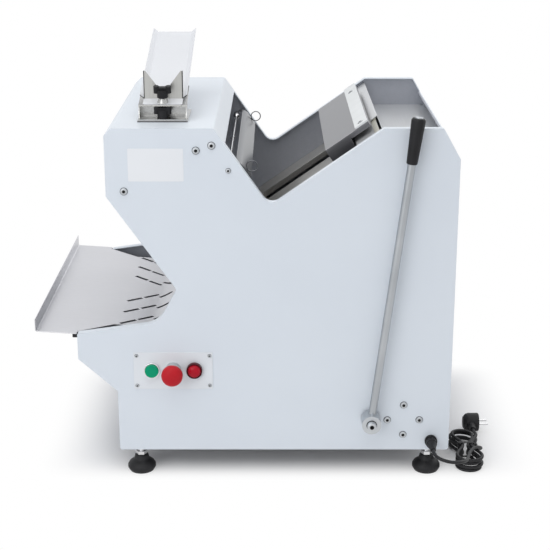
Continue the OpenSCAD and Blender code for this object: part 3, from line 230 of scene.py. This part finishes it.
# rounded edges of each kind of piece: their width in metres and the steps across it
edges = {"panel": (0.0016, 3), "cover": (0.0007, 2), "plate": (0.0004, 2), "sheet": (0.0006, 2),
         "thin": (0.0003, 1), "pocket": (0.0003, 2), "slim": (0.0005, 2), "slab": (0.0008, 3),
         "block": (0.0008, 2), "beam": (0.0010, 2), "blade": (0.00015, 1), "casing": (0.0015, 3),
         "cap": (0.0010, 3), "grip": (0.0012, 3), "ring": (0.0006, 3)}


# finds the edges of a copied CAD piece again: welds the corners and drops flat triangulation
def cleanCopy(name):
    mesh = cadNodes[name].data.copy()
    mesh.name = name + "Mesh"
    work = bmesh.new()
    work.from_mesh(mesh)
    bmesh.ops.remove_doubles(work, verts=work.verts, dist=weld["reach"])
    bmesh.ops.dissolve_limit(work, angle_limit=math.radians(weld["flat"]), verts=work.verts, edges=work.edges)
    work.to_mesh(mesh)
    work.free()
    return mesh


def newPiece(name, mesh, body, finish):
    piece = bpy.data.objects.new(name, mesh)
    bpy.context.scene.collection.objects.link(piece)
    if len(mesh.materials):
        mesh.materials.clear()
    mesh.materials.append(finish)
    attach(piece, body)
    return piece


def smoothShade(piece):
    for face in piece.data.polygons:
        face.use_smooth = True
    work = bmesh.new()
    work.from_mesh(piece.data)
    for edge in work.edges:
        sharp = len(edge.link_faces) != 2 or edge.calc_face_angle(0) > math.radians(rounding["angle"])
        edge.smooth = not sharp
    work.to_mesh(piece.data)
    work.free()


def roundEdges(piece, kind):
    soft = piece.modifiers.new("roundEdges", "BEVEL")
    soft.width, soft.segments = edges[kind]
    soft.limit_method = "ANGLE"
    soft.angle_limit = math.radians(rounding["angle"])
    soft.use_clamp_overlap = True
    for face in piece.data.polygons:
        face.use_smooth = True
    flat = piece.modifiers.new("flatFaces", "WEIGHTED_NORMAL")
    flat.weight = rounding["flatWeight"]
    flat.keep_sharp = True


# a CAD piece with rounded edges and its own finish stands for the plain one
def dress(name, finish, kind):
    piece = newPiece(name + "Dressed", cleanCopy(name), bodyOf[name], finish)
    roundEdges(piece, kind)
    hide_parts(name)
    return piece


# a CAD piece whose shape is right keeps its mesh and takes a finish
def paintNode(name, finish):
    slots = cadNodes[name].material_slots
    if not slots:
        cadNodes[name].data.materials.append(finish)
    for slot in slots:
        slot.material = finish


def meshFrom(work, name):
    bmesh.ops.recalc_face_normals(work, faces=work.faces)
    mesh = bpy.data.meshes.new(name)
    work.to_mesh(mesh)
    work.free()
    return mesh


def mm(*values):
    return Vector(value / 1000 for value in values)


# the boxes round the separate parts of a CAD piece
def islands(name):
    work = bmesh.new()
    work.from_mesh(cadNodes[name].data)
    bmesh.ops.remove_doubles(work, verts=work.verts, dist=weld["reach"])
    boxes = []
    left = set(work.verts)
    while left:
        front = [left.pop()]
        part = list(front)
        while front:
            for edge in front.pop().link_edges:
                for corner in edge.verts:
                    if corner in left:
                        left.remove(corner)
                        front.append(corner)
                        part.append(corner)
        low = Vector(min(corner.co[i] for corner in part) for i in range(3))
        high = Vector(max(corner.co[i] for corner in part) for i in range(3))
        boxes.append((low, high))
    work.free()
    return boxes


# gives faces other finishes: pick takes a face's centre and normal and says which one
def tint(piece, finishes, pick):
    for finish in finishes:
        piece.data.materials.append(finish)
    for face in piece.data.polygons:
        face.material_index = pick(face.center, face.normal)


# many turned parts in one mesh: each row is a place, an axis and a profile with a finish number per ring
def turnedSet(name, rows, sides=40):
    work = bmesh.new()
    steps = [2 * math.pi * i / sides for i in range(sides)]
    for spot, axis, profile in rows:
        turn = Vector(axis).to_track_quat("Z", "Y").to_matrix()
        rings = []
        for radius, height, look in profile:
            corners = [Vector((radius * math.cos(a), radius * math.sin(a), height)) for a in steps]
            rings.append([work.verts.new(turn @ corner + spot) for corner in corners])
        for i, (low, high) in enumerate(zip(rings, rings[1:])):
            for k in range(sides):
                face = work.faces.new((low[k], low[k - 1], high[k - 1], high[k]))
                face.material_index = profile[i + 1][2]
        for ring, look in ((rings[0], profile[0][2]), (rings[-1], profile[-1][2])):
            work.faces.new(ring).material_index = look
    return meshFrom(work, name)


# rings of a button head, as shares of its radius and height
headShape = {"shadeRing": 1.10, "shadeRingHeight": 0.0004, "foot": 0.97, "socket": 0.46,
             "dome": [(1.0, 0.3), (0.97, 0.7), (0.88, 0.94), (0.76, 1.0)],
             "bore": [(0.9, 0.9), (0.86, 0.2)], "point": (0.05, 0.1)}


# a button head with a dark ring round it and a dark socket in its face, both painted shade
def socketHead(radius, height, shankRadius=0.0, shankLength=0.0, socket=headShape["socket"]):
    shadeRing = radius * headShape["shadeRing"]
    lift = headShape["shadeRingHeight"]
    bore = radius * socket
    rows = [(shankRadius, -shankLength, 0), (shankRadius, -lift, 0)] if shankLength else []
    rows += [(shadeRing, 0.0, 1), (shadeRing, lift, 1), (radius * headShape["foot"], lift, 1)]
    rows += [(radius * wide, height * high, 0) for wide, high in headShape["dome"] + [(socket, 1.0)]]
    rows += [(bore * wide, height * high, 1) for wide, high in headShape["bore"]]
    wide, high = headShape["point"]
    return rows + [(radius * wide, height * high, 1)]


# screw heads in one piece: zinc, with painted shade on the rings round them and in their sockets
def screwSet(name, rows, body):
    piece = newPiece(name, turnedSet(name, rows), body, zincPlate)
    piece.data.materials.append(recessShade)
    smoothShade(piece)
    return piece


# solids with one outline in X and Z each, drawn out along Y
def prisms(name, rows):
    work = bmesh.new()
    for outline, y0, y1 in rows:
        near = [work.verts.new(mm(x, y0, z)) for x, z in outline]
        far = [work.verts.new(mm(x, y1, z)) for x, z in outline]
        work.faces.new(near)
        work.faces.new(list(reversed(far)))
        for i in range(len(outline)):
            work.faces.new((near[i - 1], near[i], far[i], far[i - 1]))
    return meshFrom(work, name)


# a thin plate with rounded corners, standing up against the near panel
def uprightPlate(name, look):
    left, right = look["x"]
    low, high = look["z"]
    r = look["corner"]
    steps = look["cornerSteps"]
    rim = []
    for cx, cz, start in ((right - r, high - r, 0), (left + r, high - r, 90), (left + r, low + r, 180),
                          (right - r, low + r, 270)):
        for step in range(steps + 1):
            angle = math.radians(start + 90 * step / steps)
            rim.append((cx + r * math.cos(angle), cz + r * math.sin(angle)))
    return prisms(name, [(rim, look["y"] - look["thick"], look["y"])])


# camera where the photograph was taken from
camera = {"at": (0.0575, -2.544, 1.1406), "tilt": 72.2, "lens": 85.42, "sensor": 36.0, "reach": 100}
eye = bpy.data.cameras.new("camera")
eye.lens = camera["lens"]
eye.sensor_width = camera["sensor"]
eye.clip_end = camera["reach"]
eyeObject = bpy.data.objects.new("camera", eye)
eyeObject.location = camera["at"]
eyeObject.rotation_euler = (math.radians(camera["tilt"]), 0, 0)
bpy.context.scene.collection.objects.link(eyeObject)
bpy.context.scene.camera = eyeObject
bpy.context.scene.view_settings.view_transform = "Standard"
print("camera placed")

# softboxes, a pale sky and a floor that is white to the eye but keeps the shadow
studio = {
    "top": {"at": (-0.4, -0.6, 3.0), "aim": (0, 0, 0.3), "size": (3.4, 3.0), "power": 50,
            "colour": (1.0, 0.99, 0.97)},
    "front": {"at": (-1.7, -3.0, 1.5), "aim": (0, 0, 0.25), "size": (2.4, 2.0), "power": 34,
              "colour": (0.97, 0.98, 1.0)},
    "rear": {"at": (1.9, 2.2, 2.0), "aim": (0, 0, 0.4), "size": (2.0, 1.8), "power": 22,
             "colour": (1.0, 1.0, 1.0)},
    "sky": 0.48, "skyColour": (0.97, 0.98, 1.0), "floorColour": (0.90, 0.90, 0.91), "floorRough": 0.9,
    "floorSize": 60, "floorDrop": 0.0002, "middle": (0.085, 0.0235), "shadowShape": 0.62,
    "shadowRound": 0.12, "fadeFrom": 0.205, "fadeTo": 0.31}


def softbox(name, look):
    lamp = bpy.data.lights.new(name, "AREA")
    lamp.shape = "RECTANGLE"
    lamp.size, lamp.size_y = look["size"]
    lamp.energy = look["power"]
    lamp.color = look["colour"]
    box = bpy.data.objects.new(name, lamp)
    box.location = look["at"]
    box.rotation_euler = (Vector(look["aim"]) - Vector(look["at"])).to_track_quat("-Z", "Y").to_euler()
    bpy.context.scene.collection.objects.link(box)


for boxName in ("top", "front", "rear"):
    softbox(boxName + "Softbox", studio[boxName])


class Sky(Finish):
    def __init__(self):
        self.world = bpy.data.worlds.new("studio")
        bpy.context.scene.world = self.world
        self.world.use_nodes = True
        self.tree = self.world.node_tree
        self.shader = self.tree.nodes["Background"]


sky = Sky()
seen = sky.add("ShaderNodeLightPath", output="Is Camera Ray")
mirrored = sky.add("ShaderNodeLightPath", output="Is Glossy Ray")
through = sky.add("ShaderNodeLightPath", output="Is Transmission Ray")
shown = sky.add("ShaderNodeMath", {"operation": "MAXIMUM"}, {0: sky.add(
    "ShaderNodeMath", {"operation": "MAXIMUM"}, {0: seen, 1: mirrored}), 1: through})
sky.feed(sky.shader.inputs["Strength"], shown * (1 - studio["sky"]) + studio["sky"])
sky.feed(sky.shader.inputs["Color"], solid(studio["skyColour"]))


def layFloor():
    f = Finish("paleFloor")
    f.surface(colour=solid(studio["floorColour"]), roughness=studio["floorRough"], specular=0.0)
    seen = f.add("ShaderNodeLightPath", output="Is Camera Ray")
    mirrored = f.add("ShaderNodeLightPath", output="Is Glossy Ray")
    shown = f.add("ShaderNodeMath", {"operation": "MAXIMUM"}, {0: seen, 1: mirrored})
    white = f.add("ShaderNodeEmission", {}, {"Color": (1, 1, 1, 1), "Strength": shown})
    along = f.add("ShaderNodeSeparateXYZ", {}, {0: place(f)}, output="X") - studio["middle"][0]
    across = f.add("ShaderNodeSeparateXYZ", {}, {0: place(f)}, output="Y") - studio["middle"][1]
    along = f.add("ShaderNodeMath", {"operation": "ABSOLUTE"}, {0: along}) * studio["shadowShape"]
    across = f.add("ShaderNodeMath", {"operation": "ABSOLUTE"}, {0: across})
    far = f.add("ShaderNodeMath", {"operation": "SMOOTH_MAX"}, {
        0: along, 1: across, 2: studio["shadowRound"]})
    fade = f.add("ShaderNodeMapRange", {"interpolation_type": "SMOOTHSTEP"}, {
        "Value": far, "From Min": studio["fadeFrom"], "From Max": studio["fadeTo"]})
    both = f.add("ShaderNodeMixShader", {}, {0: fade * shown, 1: Wire(f, f.shader.outputs[0]), 2: white})
    f.feed(f.tree.nodes["Material Output"].inputs["Surface"], both)
    half = studio["floorSize"] / 2
    corners = [(-half, -half, 0), (half, -half, 0), (half, half, 0), (-half, half, 0)]
    mesh = bpy.data.meshes.new("floor")
    mesh.from_pydata(corners, [], [(0, 1, 2, 3)])
    mesh.materials.append(f.material)
    floor = bpy.data.objects.new("floor", mesh)
    floor.location.z = -studio["floorDrop"]
    bpy.context.scene.collection.objects.link(floor)


layFloor()
print("studio lit")


# finishes
feedSlope = 35.0
whiteLook = {
    "cloudScale": 2.2, "toneSpan": (0.3, 0.7), "low": (0.655, 0.705, 0.765), "high": (0.69, 0.74, 0.795),
    "dustTop": 0.32, "dustLow": 0.05, "dust": 0.03, "dustColour": (0.55, 0.57, 0.60),
    "peelScale": 620, "peelDepth": 0.00004, "peelStrength": 0.22,
    "rough": 0.36, "roughSpread": 0.10, "coat": 0.12, "coatRough": 0.22,
    "wearReach": 0.0022, "wearBreak": 60, "wear": 0.5, "wearColour": (0.50, 0.53, 0.57)}
motorLook = dict(whiteLook, low=(0.10, 0.13, 0.17), high=(0.12, 0.15, 0.20), dustColour=(0.2, 0.2, 0.2))
plateLook = dict(whiteLook, low=(0.70, 0.73, 0.77), high=(0.74, 0.77, 0.80), rough=0.30)
labelLook = dict(whiteLook, low=(0.76, 0.78, 0.81), high=(0.80, 0.82, 0.84), rough=0.30, peelStrength=0.05)
trayLook = {
    "grain": (5, 620, 620), "slope": 0.0, "patchScale": 5, "lineShare": 0.6, "toneSpan": (0.25, 0.75),
    "low": (0.58, 0.58, 0.60), "high": (0.68, 0.68, 0.70), "metal": 0.9,
    "rough": 0.34, "roughSpread": 0.10, "patchRough": 0.06, "depth": 0.00002, "strength": 0.25,
    "wearReach": 0.0012, "wearBreak": 90, "wear": 0.6, "wearPolish": 0.08, "wearColour": (0.74, 0.74, 0.74)}
slopedLook = dict(trayLook, slope=feedSlope, metal=1.0, rough=0.20)  # its grain runs down the feed
bedLook = dict(slopedLook, low=(0.36, 0.35, 0.33), high=(0.48, 0.47, 0.45), metal=0.6, rough=0.28)
pusherLook = dict(slopedLook, low=(0.16, 0.16, 0.17), high=(0.24, 0.24, 0.25), rough=0.24)
deckLook = dict(slopedLook, low=(0.56, 0.57, 0.58), high=(0.68, 0.69, 0.70), metal=0.6, rough=0.26)
crossLook = dict(deckLook, grain=(620, 5, 620), slope=0.0)
scoopLook = dict(crossLook, low=(0.63, 0.645, 0.68), high=(0.70, 0.715, 0.74), metal=0.1, rough=0.5)
bracketLook = dict(crossLook, low=(0.34, 0.34, 0.33), high=(0.50, 0.50, 0.49), metal=1.0, rough=0.18)
# a darker copy of the scoop's steel for its faces across Y, near black at the outer bands: painted shade
earShadedLook = dict(crossLook, grain=(620, 620, 5), low=(0.36, 0.36, 0.35), high=(0.48, 0.48, 0.46), metal=1.0,
               rough=0.26, shadeBandAt=-0.147, shadeBandFrom=0.0342, shadeBandColour=(0.05, 0.05, 0.05), wear=0.0)
flapLook = dict(slopedLook, low=(0.11, 0.115, 0.123), high=(0.15, 0.155, 0.163), rough=0.27, roughSpread=0.04,
                patchRough=0.02, depth=0.00001)
pocketLook = dict(crossLook, low=(0.52, 0.51, 0.44), high=(0.64, 0.63, 0.55), rough=0.30)
# bare steel of the insides, made darker than it is as painted shade
innerShadedLook = dict(trayLook, grain=(90, 400, 90), low=(0.33, 0.345, 0.385), high=(0.41, 0.425, 0.47),
                 metal=0.45, rough=0.40)
frameLook = dict(slopedLook, grain=(90, 90, 90), slope=0.0, low=(0.30, 0.31, 0.32), high=(0.42, 0.43, 0.44),
                 rough=0.38)
bladeLook = dict(slopedLook, grain=(500, 500, 8), low=(0.56, 0.57, 0.58), high=(0.68, 0.69, 0.70))
barLook = {"rings": (300, 300, 300), "ringRough": 0.08, "smearScale": 9, "toneSpan": (0.3, 0.7),
           "low": (0.60, 0.60, 0.61), "high": (0.72, 0.72, 0.73), "rough": 0.13, "smear": 0.10,
           "depth": 0.00001, "strength": 0.3}
rodLook = dict(barLook, low=(0.36, 0.38, 0.40), high=(0.46, 0.48, 0.50), rough=0.22)
zincLook = dict(barLook, low=(0.44, 0.46, 0.48), high=(0.56, 0.58, 0.60), rough=0.28)
# dark iron for the pulleys, also used as painted shade on the scoop's edges
ironAndShadeLook = dict(barLook, low=(0.10, 0.10, 0.105), high=(0.16, 0.16, 0.165), rough=0.38)
chromeLook = dict(barLook, rough=0.06, smear=0.05, low=(0.74, 0.74, 0.75), high=(0.80, 0.80, 0.81))
rubberLook = {"skinScale": 1400, "wearScale": 24, "toneSpan": (0.35, 0.7), "low": (0.010, 0.010, 0.011),
              "high": (0.022, 0.022, 0.024), "rough": 0.46, "roughSpread": 0.18, "depth": 0.00006,
              "strength": 0.4, "specular": 0.28, "coat": 0.0, "coatRough": 0.1}
plasticLook = dict(rubberLook, high=(0.018, 0.018, 0.020), rough=0.36, specular=0.2)
# near black for sockets, slot sides and the rings round screw heads: painted shade
recessShadeLook = dict(rubberLook, low=(0.012, 0.012, 0.013), high=(0.03, 0.03, 0.03), rough=0.5, specular=0.2)
stripLook = dict(rubberLook, low=(0.68, 0.70, 0.71), high=(0.74, 0.76, 0.77), rough=0.42, strength=0.2)
greenLook = dict(rubberLook, low=(0.001, 0.27, 0.135), high=(0.002, 0.33, 0.17), rough=0.26, roughSpread=0.08,
                 depth=0.00002, coatRough=0.08, specular=0.12)
redLook = dict(greenLook, low=(0.45, 0.014, 0.022), high=(0.53, 0.022, 0.032), rough=0.34)
lampLook = dict(greenLook, low=(0.36, 0.003, 0.014), high=(0.46, 0.008, 0.022), rough=0.14, coat=0.08)
lampRingLook = dict(greenLook, low=(0.060, 0.004, 0.008), high=(0.085, 0.006, 0.012), rough=0.24)

whitePaint = sprayedPaint("whitePaint", whiteLook)
platePaint = sprayedPaint("platePaint", plateLook)
labelPaint = sprayedPaint("labelPaint", labelLook)
motorPaint = sprayedPaint("motorPaint", motorLook)
traySteel = brushedSheet("traySteel", trayLook)
bedSteel = brushedSheet("bedSteel", bedLook)
pusherSteel = brushedSheet("pusherSteel", pusherLook)
deckSteel = brushedSheet("deckSteel", deckLook)
crossSteel = brushedSheet("crossSteel", crossLook)
scoopSteel = brushedSheet("scoopSteel", scoopLook)
bracketSteel = brushedSheet("bracketSteel", bracketLook)
earSteelShaded = brushedSheet("earSteelShaded", earShadedLook)
flapSteel = brushedSheet("flapSteel", flapLook)
innerSteelShaded = brushedSheet("innerSteelShaded", innerShadedLook)
pocketSteel = brushedSheet("pocketSteel", pocketLook)
frameSteel = brushedSheet("frameSteel", frameLook)
bladeSteel = brushedSheet("bladeSteel", bladeLook)
brightSteel = turnedBar("brightSteel", barLook)
rodSteel = turnedBar("rodSteel", rodLook)
zincPlate = turnedBar("zincPlate", zincLook)
turnedIronAndShade = turnedBar("turnedIronAndShade", ironAndShadeLook)
bezelChrome = turnedBar("bezelChrome", chromeLook)
blackRubber = moulded("blackRubber", rubberLook)
blackPlastic = moulded("blackPlastic", plasticLook)
recessShade = moulded("recessShade", recessShadeLook)
stripPlastic = moulded("stripPlastic", stripLook)
greenPlastic = moulded("greenPlastic", greenLook)
redPlastic = moulded("redPlastic", redLook)
lampPlastic = moulded("lampPlastic", lampLook)
lampRingPlastic = moulded("lampRingPlastic", lampRingLook)
print("finishes mixed")

# mains cord: the lead's route as listed points, then the hank's loops, all one line
cord = {
    "width": 6.6, "smooth": 5,
    "lead": [
        (356, -304, 74), (356, -316, 74), (360, -330, 73), (370, -341, 72), (384, -345, 70), (398, -340, 67),
        (409, -329, 63), (417, -314, 58), (422, -297, 53), (426, -279, 48), (430, -261, 44), (435, -243, 41),
        (442, -226, 39), (451, -210, 36), (460, -196, 30), (466, -182, 22), (468, -168, 14), (467, -154, 8),
        (465, -144, 6), (464, -135, 5), (464, -126, 5)],
    "hankAt": (437, -176, 5), "run": 100, "foldRadius": 27, "step": 7.2, "loops": 4, "waist": 16,
    "foldShare": 0.21, "pointsPerLoop": 24, "lastStep": 0.25, "tail": 36,
    "tailBends": [(0.6, 3), (0.3, 0)], "plugHeight": 19.4}


def loopRadius(turn):
    return cord["foldRadius"] - cord["step"] * (1 - abs(1 - 2 * ((turn / 2) % 1)))


def loopHeight(turn):
    near = math.floor(turn + 0.5)
    past = turn - near
    if near < 1:
        level = 0
    elif near > cord["loops"] - 1:
        level = cord["loops"] - 1
    elif abs(past) < 0.25:
        level = near - 0.5 + 2 * past
    else:
        level = near if past > 0 else near - 1
    return cord["hankAt"][2] + cord["step"] * level


def hankPoint(turn):
    x, y = cord["hankAt"][:2]
    part = turn % 1
    share = cord["foldShare"]
    half = cord["run"] / 2
    radius = loopRadius(turn)
    height = loopHeight(turn)
    span = 0.5 - share
    if part < share or 0.5 <= part < 0.5 + share:
        side = 1 if part < 0.5 else -1
        angle = math.pi * (part % 0.5) / share + (0 if side > 0 else math.pi)
        return (x + radius * math.cos(angle), y + side * half + radius * math.sin(angle), height)
    side = -1 if part < 0.5 else 1
    along = side * (2 * (part % 0.5 - share) / span - 1)
    drawnIn = cord["waist"] * (1 + math.cos(math.pi * along)) / 2
    return (x + side * (radius - drawnIn), y + half * along, height)


def cordRoute():
    per = cord["pointsPerLoop"]
    hank = [hankPoint(i / per) for i in range(1, cord["loops"] * per)]
    last = hankPoint(cord["loops"] - cord["lastStep"] / per)
    x, y = cord["hankAt"][:2]
    end = (x + cord["foldRadius"], y + cord["run"] / 2 + cord["tail"], cord["plugHeight"])
    bends = [(end[0], end[1] - cord["tail"] * share, end[2] + rise) for share, rise in cord["tailBends"]]
    return [mm(*point) for point in cord["lead"] + hank + [last, *bends, end]]


# a smooth line through every point
def smoothLine(points, pieces):
    line = []
    for i in range(len(points) - 1):
        a = points[max(i - 1, 0)]
        b, c = points[i], points[i + 1]
        d = points[min(i + 2, len(points) - 1)]
        for k in range(pieces):
            t = k / pieces
            line.append(0.5 * (2 * b + (c - a) * t + (2 * a - 5 * b + 4 * c - d) * t ** 2
                               + (3 * b - 3 * c + d - a) * t ** 3))
    line.append(points[-1])
    return line


def tubeAlong(name, line, width, finish, rounds=5):
    curve = bpy.data.curves.new(name, "CURVE")
    curve.dimensions = "3D"
    curve.bevel_depth = width / 2
    curve.bevel_resolution = rounds
    curve.use_fill_caps = True
    spline = curve.splines.new("POLY")
    spline.points.add(len(line) - 1)
    for spot, point in zip(spline.points, line):
        spot.co = (*point, 1)
    spline.use_smooth = True
    piece = bpy.data.objects.new(name, curve)
    curve.materials.append(finish)
    bpy.context.scene.collection.objects.link(piece)
    return piece


cordLine = smoothLine(cordRoute(), cord["smooth"])
cordLength = sum((b - a).length for a, b in zip(cordLine, cordLine[1:]))
mainsCord = tubeAlong("mainsCord", cordLine, cord["width"] / 1000, blackRubber)
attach(mainsCord, "machine")
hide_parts("cord_lead", "cord_hank")
print("cord laid,", round(cordLength, 3), "m")

# painted sheet: covers and panels with folded, sprayed edges, bare steel on the inside, its grey darkened as
# painted shade
panels = {"near_side_panel": {"inside": -257.0, "facing": 1},
          "far_side_panel": {"inside": 304.0, "facing": -1}}
shadedInside = {"square": 0.9, "reach": 0.5, "rear": -0.3}
for name, look in panels.items():
    panelPiece = dress(name, whitePaint, "panel")
    tint(panelPiece, [innerSteelShaded], lambda spot, normal: int(
        normal.y * look["facing"] > shadedInside["square"]
        and abs(spot.y * 1000 - look["inside"]) < shadedInside["reach"]))
for name in ("top_cover", "outfeed_hood", "chin_cover"):
    dress(name, whitePaint, "cover")
rearCover = dress("rear_cover", whitePaint, "cover")
# the rear cover's inward faces take the same dark steel: painted shade
tint(rearCover, [innerSteelShaded], lambda spot, normal: int(normal.x < shadedInside["rear"]))
dress("control_plate", platePaint, "plate")
dress("rear_deck", crossSteel, "sheet")
dress("upper_deck", deckSteel, "sheet")
dress("base_plate", frameSteel, "sheet")

# a sheet with two ends, just under the upper deck, closes its cut-out so that no hand reaches the drive
pocket = {"y": (-215.2, -82.8), "thick": 1.2, "back": 249.7, "top": 665.2,
          "path": [(238.6, 655.4), (249.2, 662.8)]}
pocketUnder = [(x, z - pocket["thick"]) for x, z in reversed(pocket["path"])]
pocketEnd = pocket["path"] + [(pocket["back"], pocket["path"][-1][1]), (pocket["back"], pocket["top"])]
nearEnd, farEnd = pocket["y"]
pocketRows = [(pocket["path"] + pocketUnder, nearEnd, farEnd),
              (pocketEnd, nearEnd, nearEnd + pocket["thick"]),
              (pocketEnd, farEnd - pocket["thick"], farEnd)]
pocketPiece = newPiece("deckPocket", prisms("deckPocket", pocketRows), "machine", pocketSteel)
roundEdges(pocketPiece, "pocket")

# the rating plate's place: a plain plate that says nothing
ratingPlate = {"x": (-206.5, -106.5), "z": (583.5, 643.7), "y": -259.0, "thick": 0.4, "corner": 2.0,
               "cornerSteps": 6}
newPiece("ratingPlate", uprightPlate("ratingPlate", ratingPlate), "machine", labelPaint)
print("covers dressed")

# steel sheet of the tray, bed and pusher
trayPiece = dress("output_tray", traySteel, "thin")
# the crumb slots' side faces take the near-black finish: painted shade inside the slots
crumbSlotShade = {"middle": 23.5, "half": 210.0, "across": (0.5, 0.85), "upright": 0.35}
tint(trayPiece, [recessShade], lambda spot, normal: int(
    abs(spot.y * 1000 - crumbSlotShade["middle"]) < crumbSlotShade["half"] and abs(normal.z) < crumbSlotShade["upright"]
    and crumbSlotShade["across"][0] < abs(normal.x) < crumbSlotShade["across"][1]))
dress("feed_bed", bedSteel, "sheet")
dress("pusher_plate", pusherSteel, "slab")
dress("pusher_strip", stripPlastic, "cap")
dress("hold_down_flap", flapSteel, "slim")
scoopShading = {"middle": -147.0, "half": 36.0, "lip": 4.0, "square": 0.8}
scoopFoot = dress("scoop_base", bracketSteel, "sheet")
# the base's faces towards -Y take dark iron: painted shade
tint(scoopFoot, [turnedIronAndShade], lambda spot, normal: int(normal.y < -scoopShading["square"]))
dress("scoop_bracket", bracketSteel, "slim")
scoopPiece = dress("bagging_scoop", scoopSteel, "slim")


# faces across Y take the darker steel, and the trough's side edges dark iron: both painted shade
def scoopShadePick(spot, normal):
    if abs(normal.y) > scoopShading["square"]:
        return 1
    aside = abs(spot.x * 1000 - scoopShading["middle"]) - scoopShading["half"]
    return 2 if abs(normal.x) > scoopShading["square"] and abs(aside) < scoopShading["lip"] else 0


tint(scoopPiece, [earSteelShaded, turnedIronAndShade], scoopShadePick)

# two screws hold the white strip to the pusher: s runs along the feed, n up from it
stripScrews = {"s": 214.5, "n": 16.0, "y": (157.0, -165.0), "corner": (48.0, 537.0), "radius": 0.0048,
               "height": 0.0012, "socket": 0.72}
feedTurn = math.radians(feedSlope)
alongFeed = Vector((math.cos(feedTurn), 0, math.sin(feedTurn)))
offFeed = Vector((-math.sin(feedTurn), 0, math.cos(feedTurn)))
cornerX, cornerZ = stripScrews["corner"]
stripSpot = alongFeed * stripScrews["s"] + offFeed * stripScrews["n"] + Vector((cornerX, 0, cornerZ))
stripHead = socketHead(stripScrews["radius"], stripScrews["height"], socket=stripScrews["socket"])
stripRows = [(mm(stripSpot.x, y, stripSpot.z), offFeed, stripHead) for y in stripScrews["y"]]
screwSet("stripScrews", stripRows, "pusher")
print("steel sheet dressed")

# machined and welded steel inside
for name in ("cross_beams", "pusher_carriage", "shaft_bearings", "stop_block", "motor_cradle"):
    dress(name, frameSteel, "beam")
for name in ("front_blade_frame", "rear_blade_frame", "front_connecting_rod", "rear_connecting_rod",
             "lever_arms"):
    dress(name, frameSteel, "cover")
for name in ("front_blades", "rear_blades"):
    dress(name, bladeSteel, "blade")
for name in ("guide_rods", "crankshaft", "motor_shaft", "lever_shaft", "flap_rod", "foot_studs"):
    dress(name, brightSteel, "slim")
for name in ("crank_pulley", "motor_pulley"):
    dress(name, turnedIronAndShade, "sheet")
dress("motor", motorPaint, "casing")
dress("drive_belt", blackRubber, "thin")
paintNode("return_spring", brightSteel)
dress("contact_blocks", blackPlastic, "block")
print("mechanism dressed")

# screws of the panels and the control plate: button heads with sockets, on the near side and the far one
panelScrews = {"smallUnder": 0.008, "smallHead": 0.002, "head": 0.003, "shankRadius": 0.0025,
               "shankLeast": 0.0005}
screwRows = []
for low, high in islands("panel_screws"):
    near = low.y < 0
    width = high.x - low.x
    head = panelScrews["smallHead" if width < panelScrews["smallUnder"] else "head"]
    base = low.y + head if near else high.y - head
    shank = max(high.y - base if near else base - low.y, panelScrews["shankLeast"])
    spot = (low + high) / 2
    spot.y = base
    screwRows.append((spot, (0, -1 if near else 1, 0),
                      socketHead(width / 2, head, panelScrews["shankRadius"], shank)))
screwPiece = screwSet("panelScrews", screwRows, bodyOf["panel_screws"])
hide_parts("panel_screws")

# lever, buttons, knobs and rubber
dress("lever_hub", zincPlate, "grip")
dress("lever_rod", rodSteel, "slab")
boltLow, boltHigh = islands("lever_bolt")[0]
boltSpot = (boltLow + boltHigh) / 2
boltSpot.y = boltHigh.y
boltHead = socketHead((boltHigh.x - boltLow.x) / 2, boltHigh.y - boltLow.y)
boltRow = (boltSpot, (0, -1, 0), boltHead)
boltPiece = screwSet("leverBolt", [boltRow], bodyOf["lever_bolt"])
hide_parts("lever_bolt")
dress("lever_grip", blackPlastic, "grip")
bezelPiece = dress("control_bezels", bezelChrome, "ring")
bezelSplit = (-0.154, -0.114)  # x between the three controls
tint(bezelPiece, [zincPlate, lampRingPlastic],
     lambda spot, normal: sum(spot.x > split for split in bezelSplit))
dress("start_button", greenPlastic, "ring")
dress("stop_button", redPlastic, "cap")
dress("lamp_lens", lampPlastic, "ring")
dress("near_knob", blackPlastic, "grip")
dress("far_knob", blackPlastic, "grip")
dress("rubber_pads", blackRubber, "grip")
dress("cord_gland", blackPlastic, "ring")
plugPiece = dress("plug", blackRubber, "cap")
pinsPiece = dress("plug_pins", brightSteel, "ring")
tiePiece = dress("cord_tie", blackPlastic, "plate")
print("controls and rubber dressed")

bpy.context.view_layer.update()
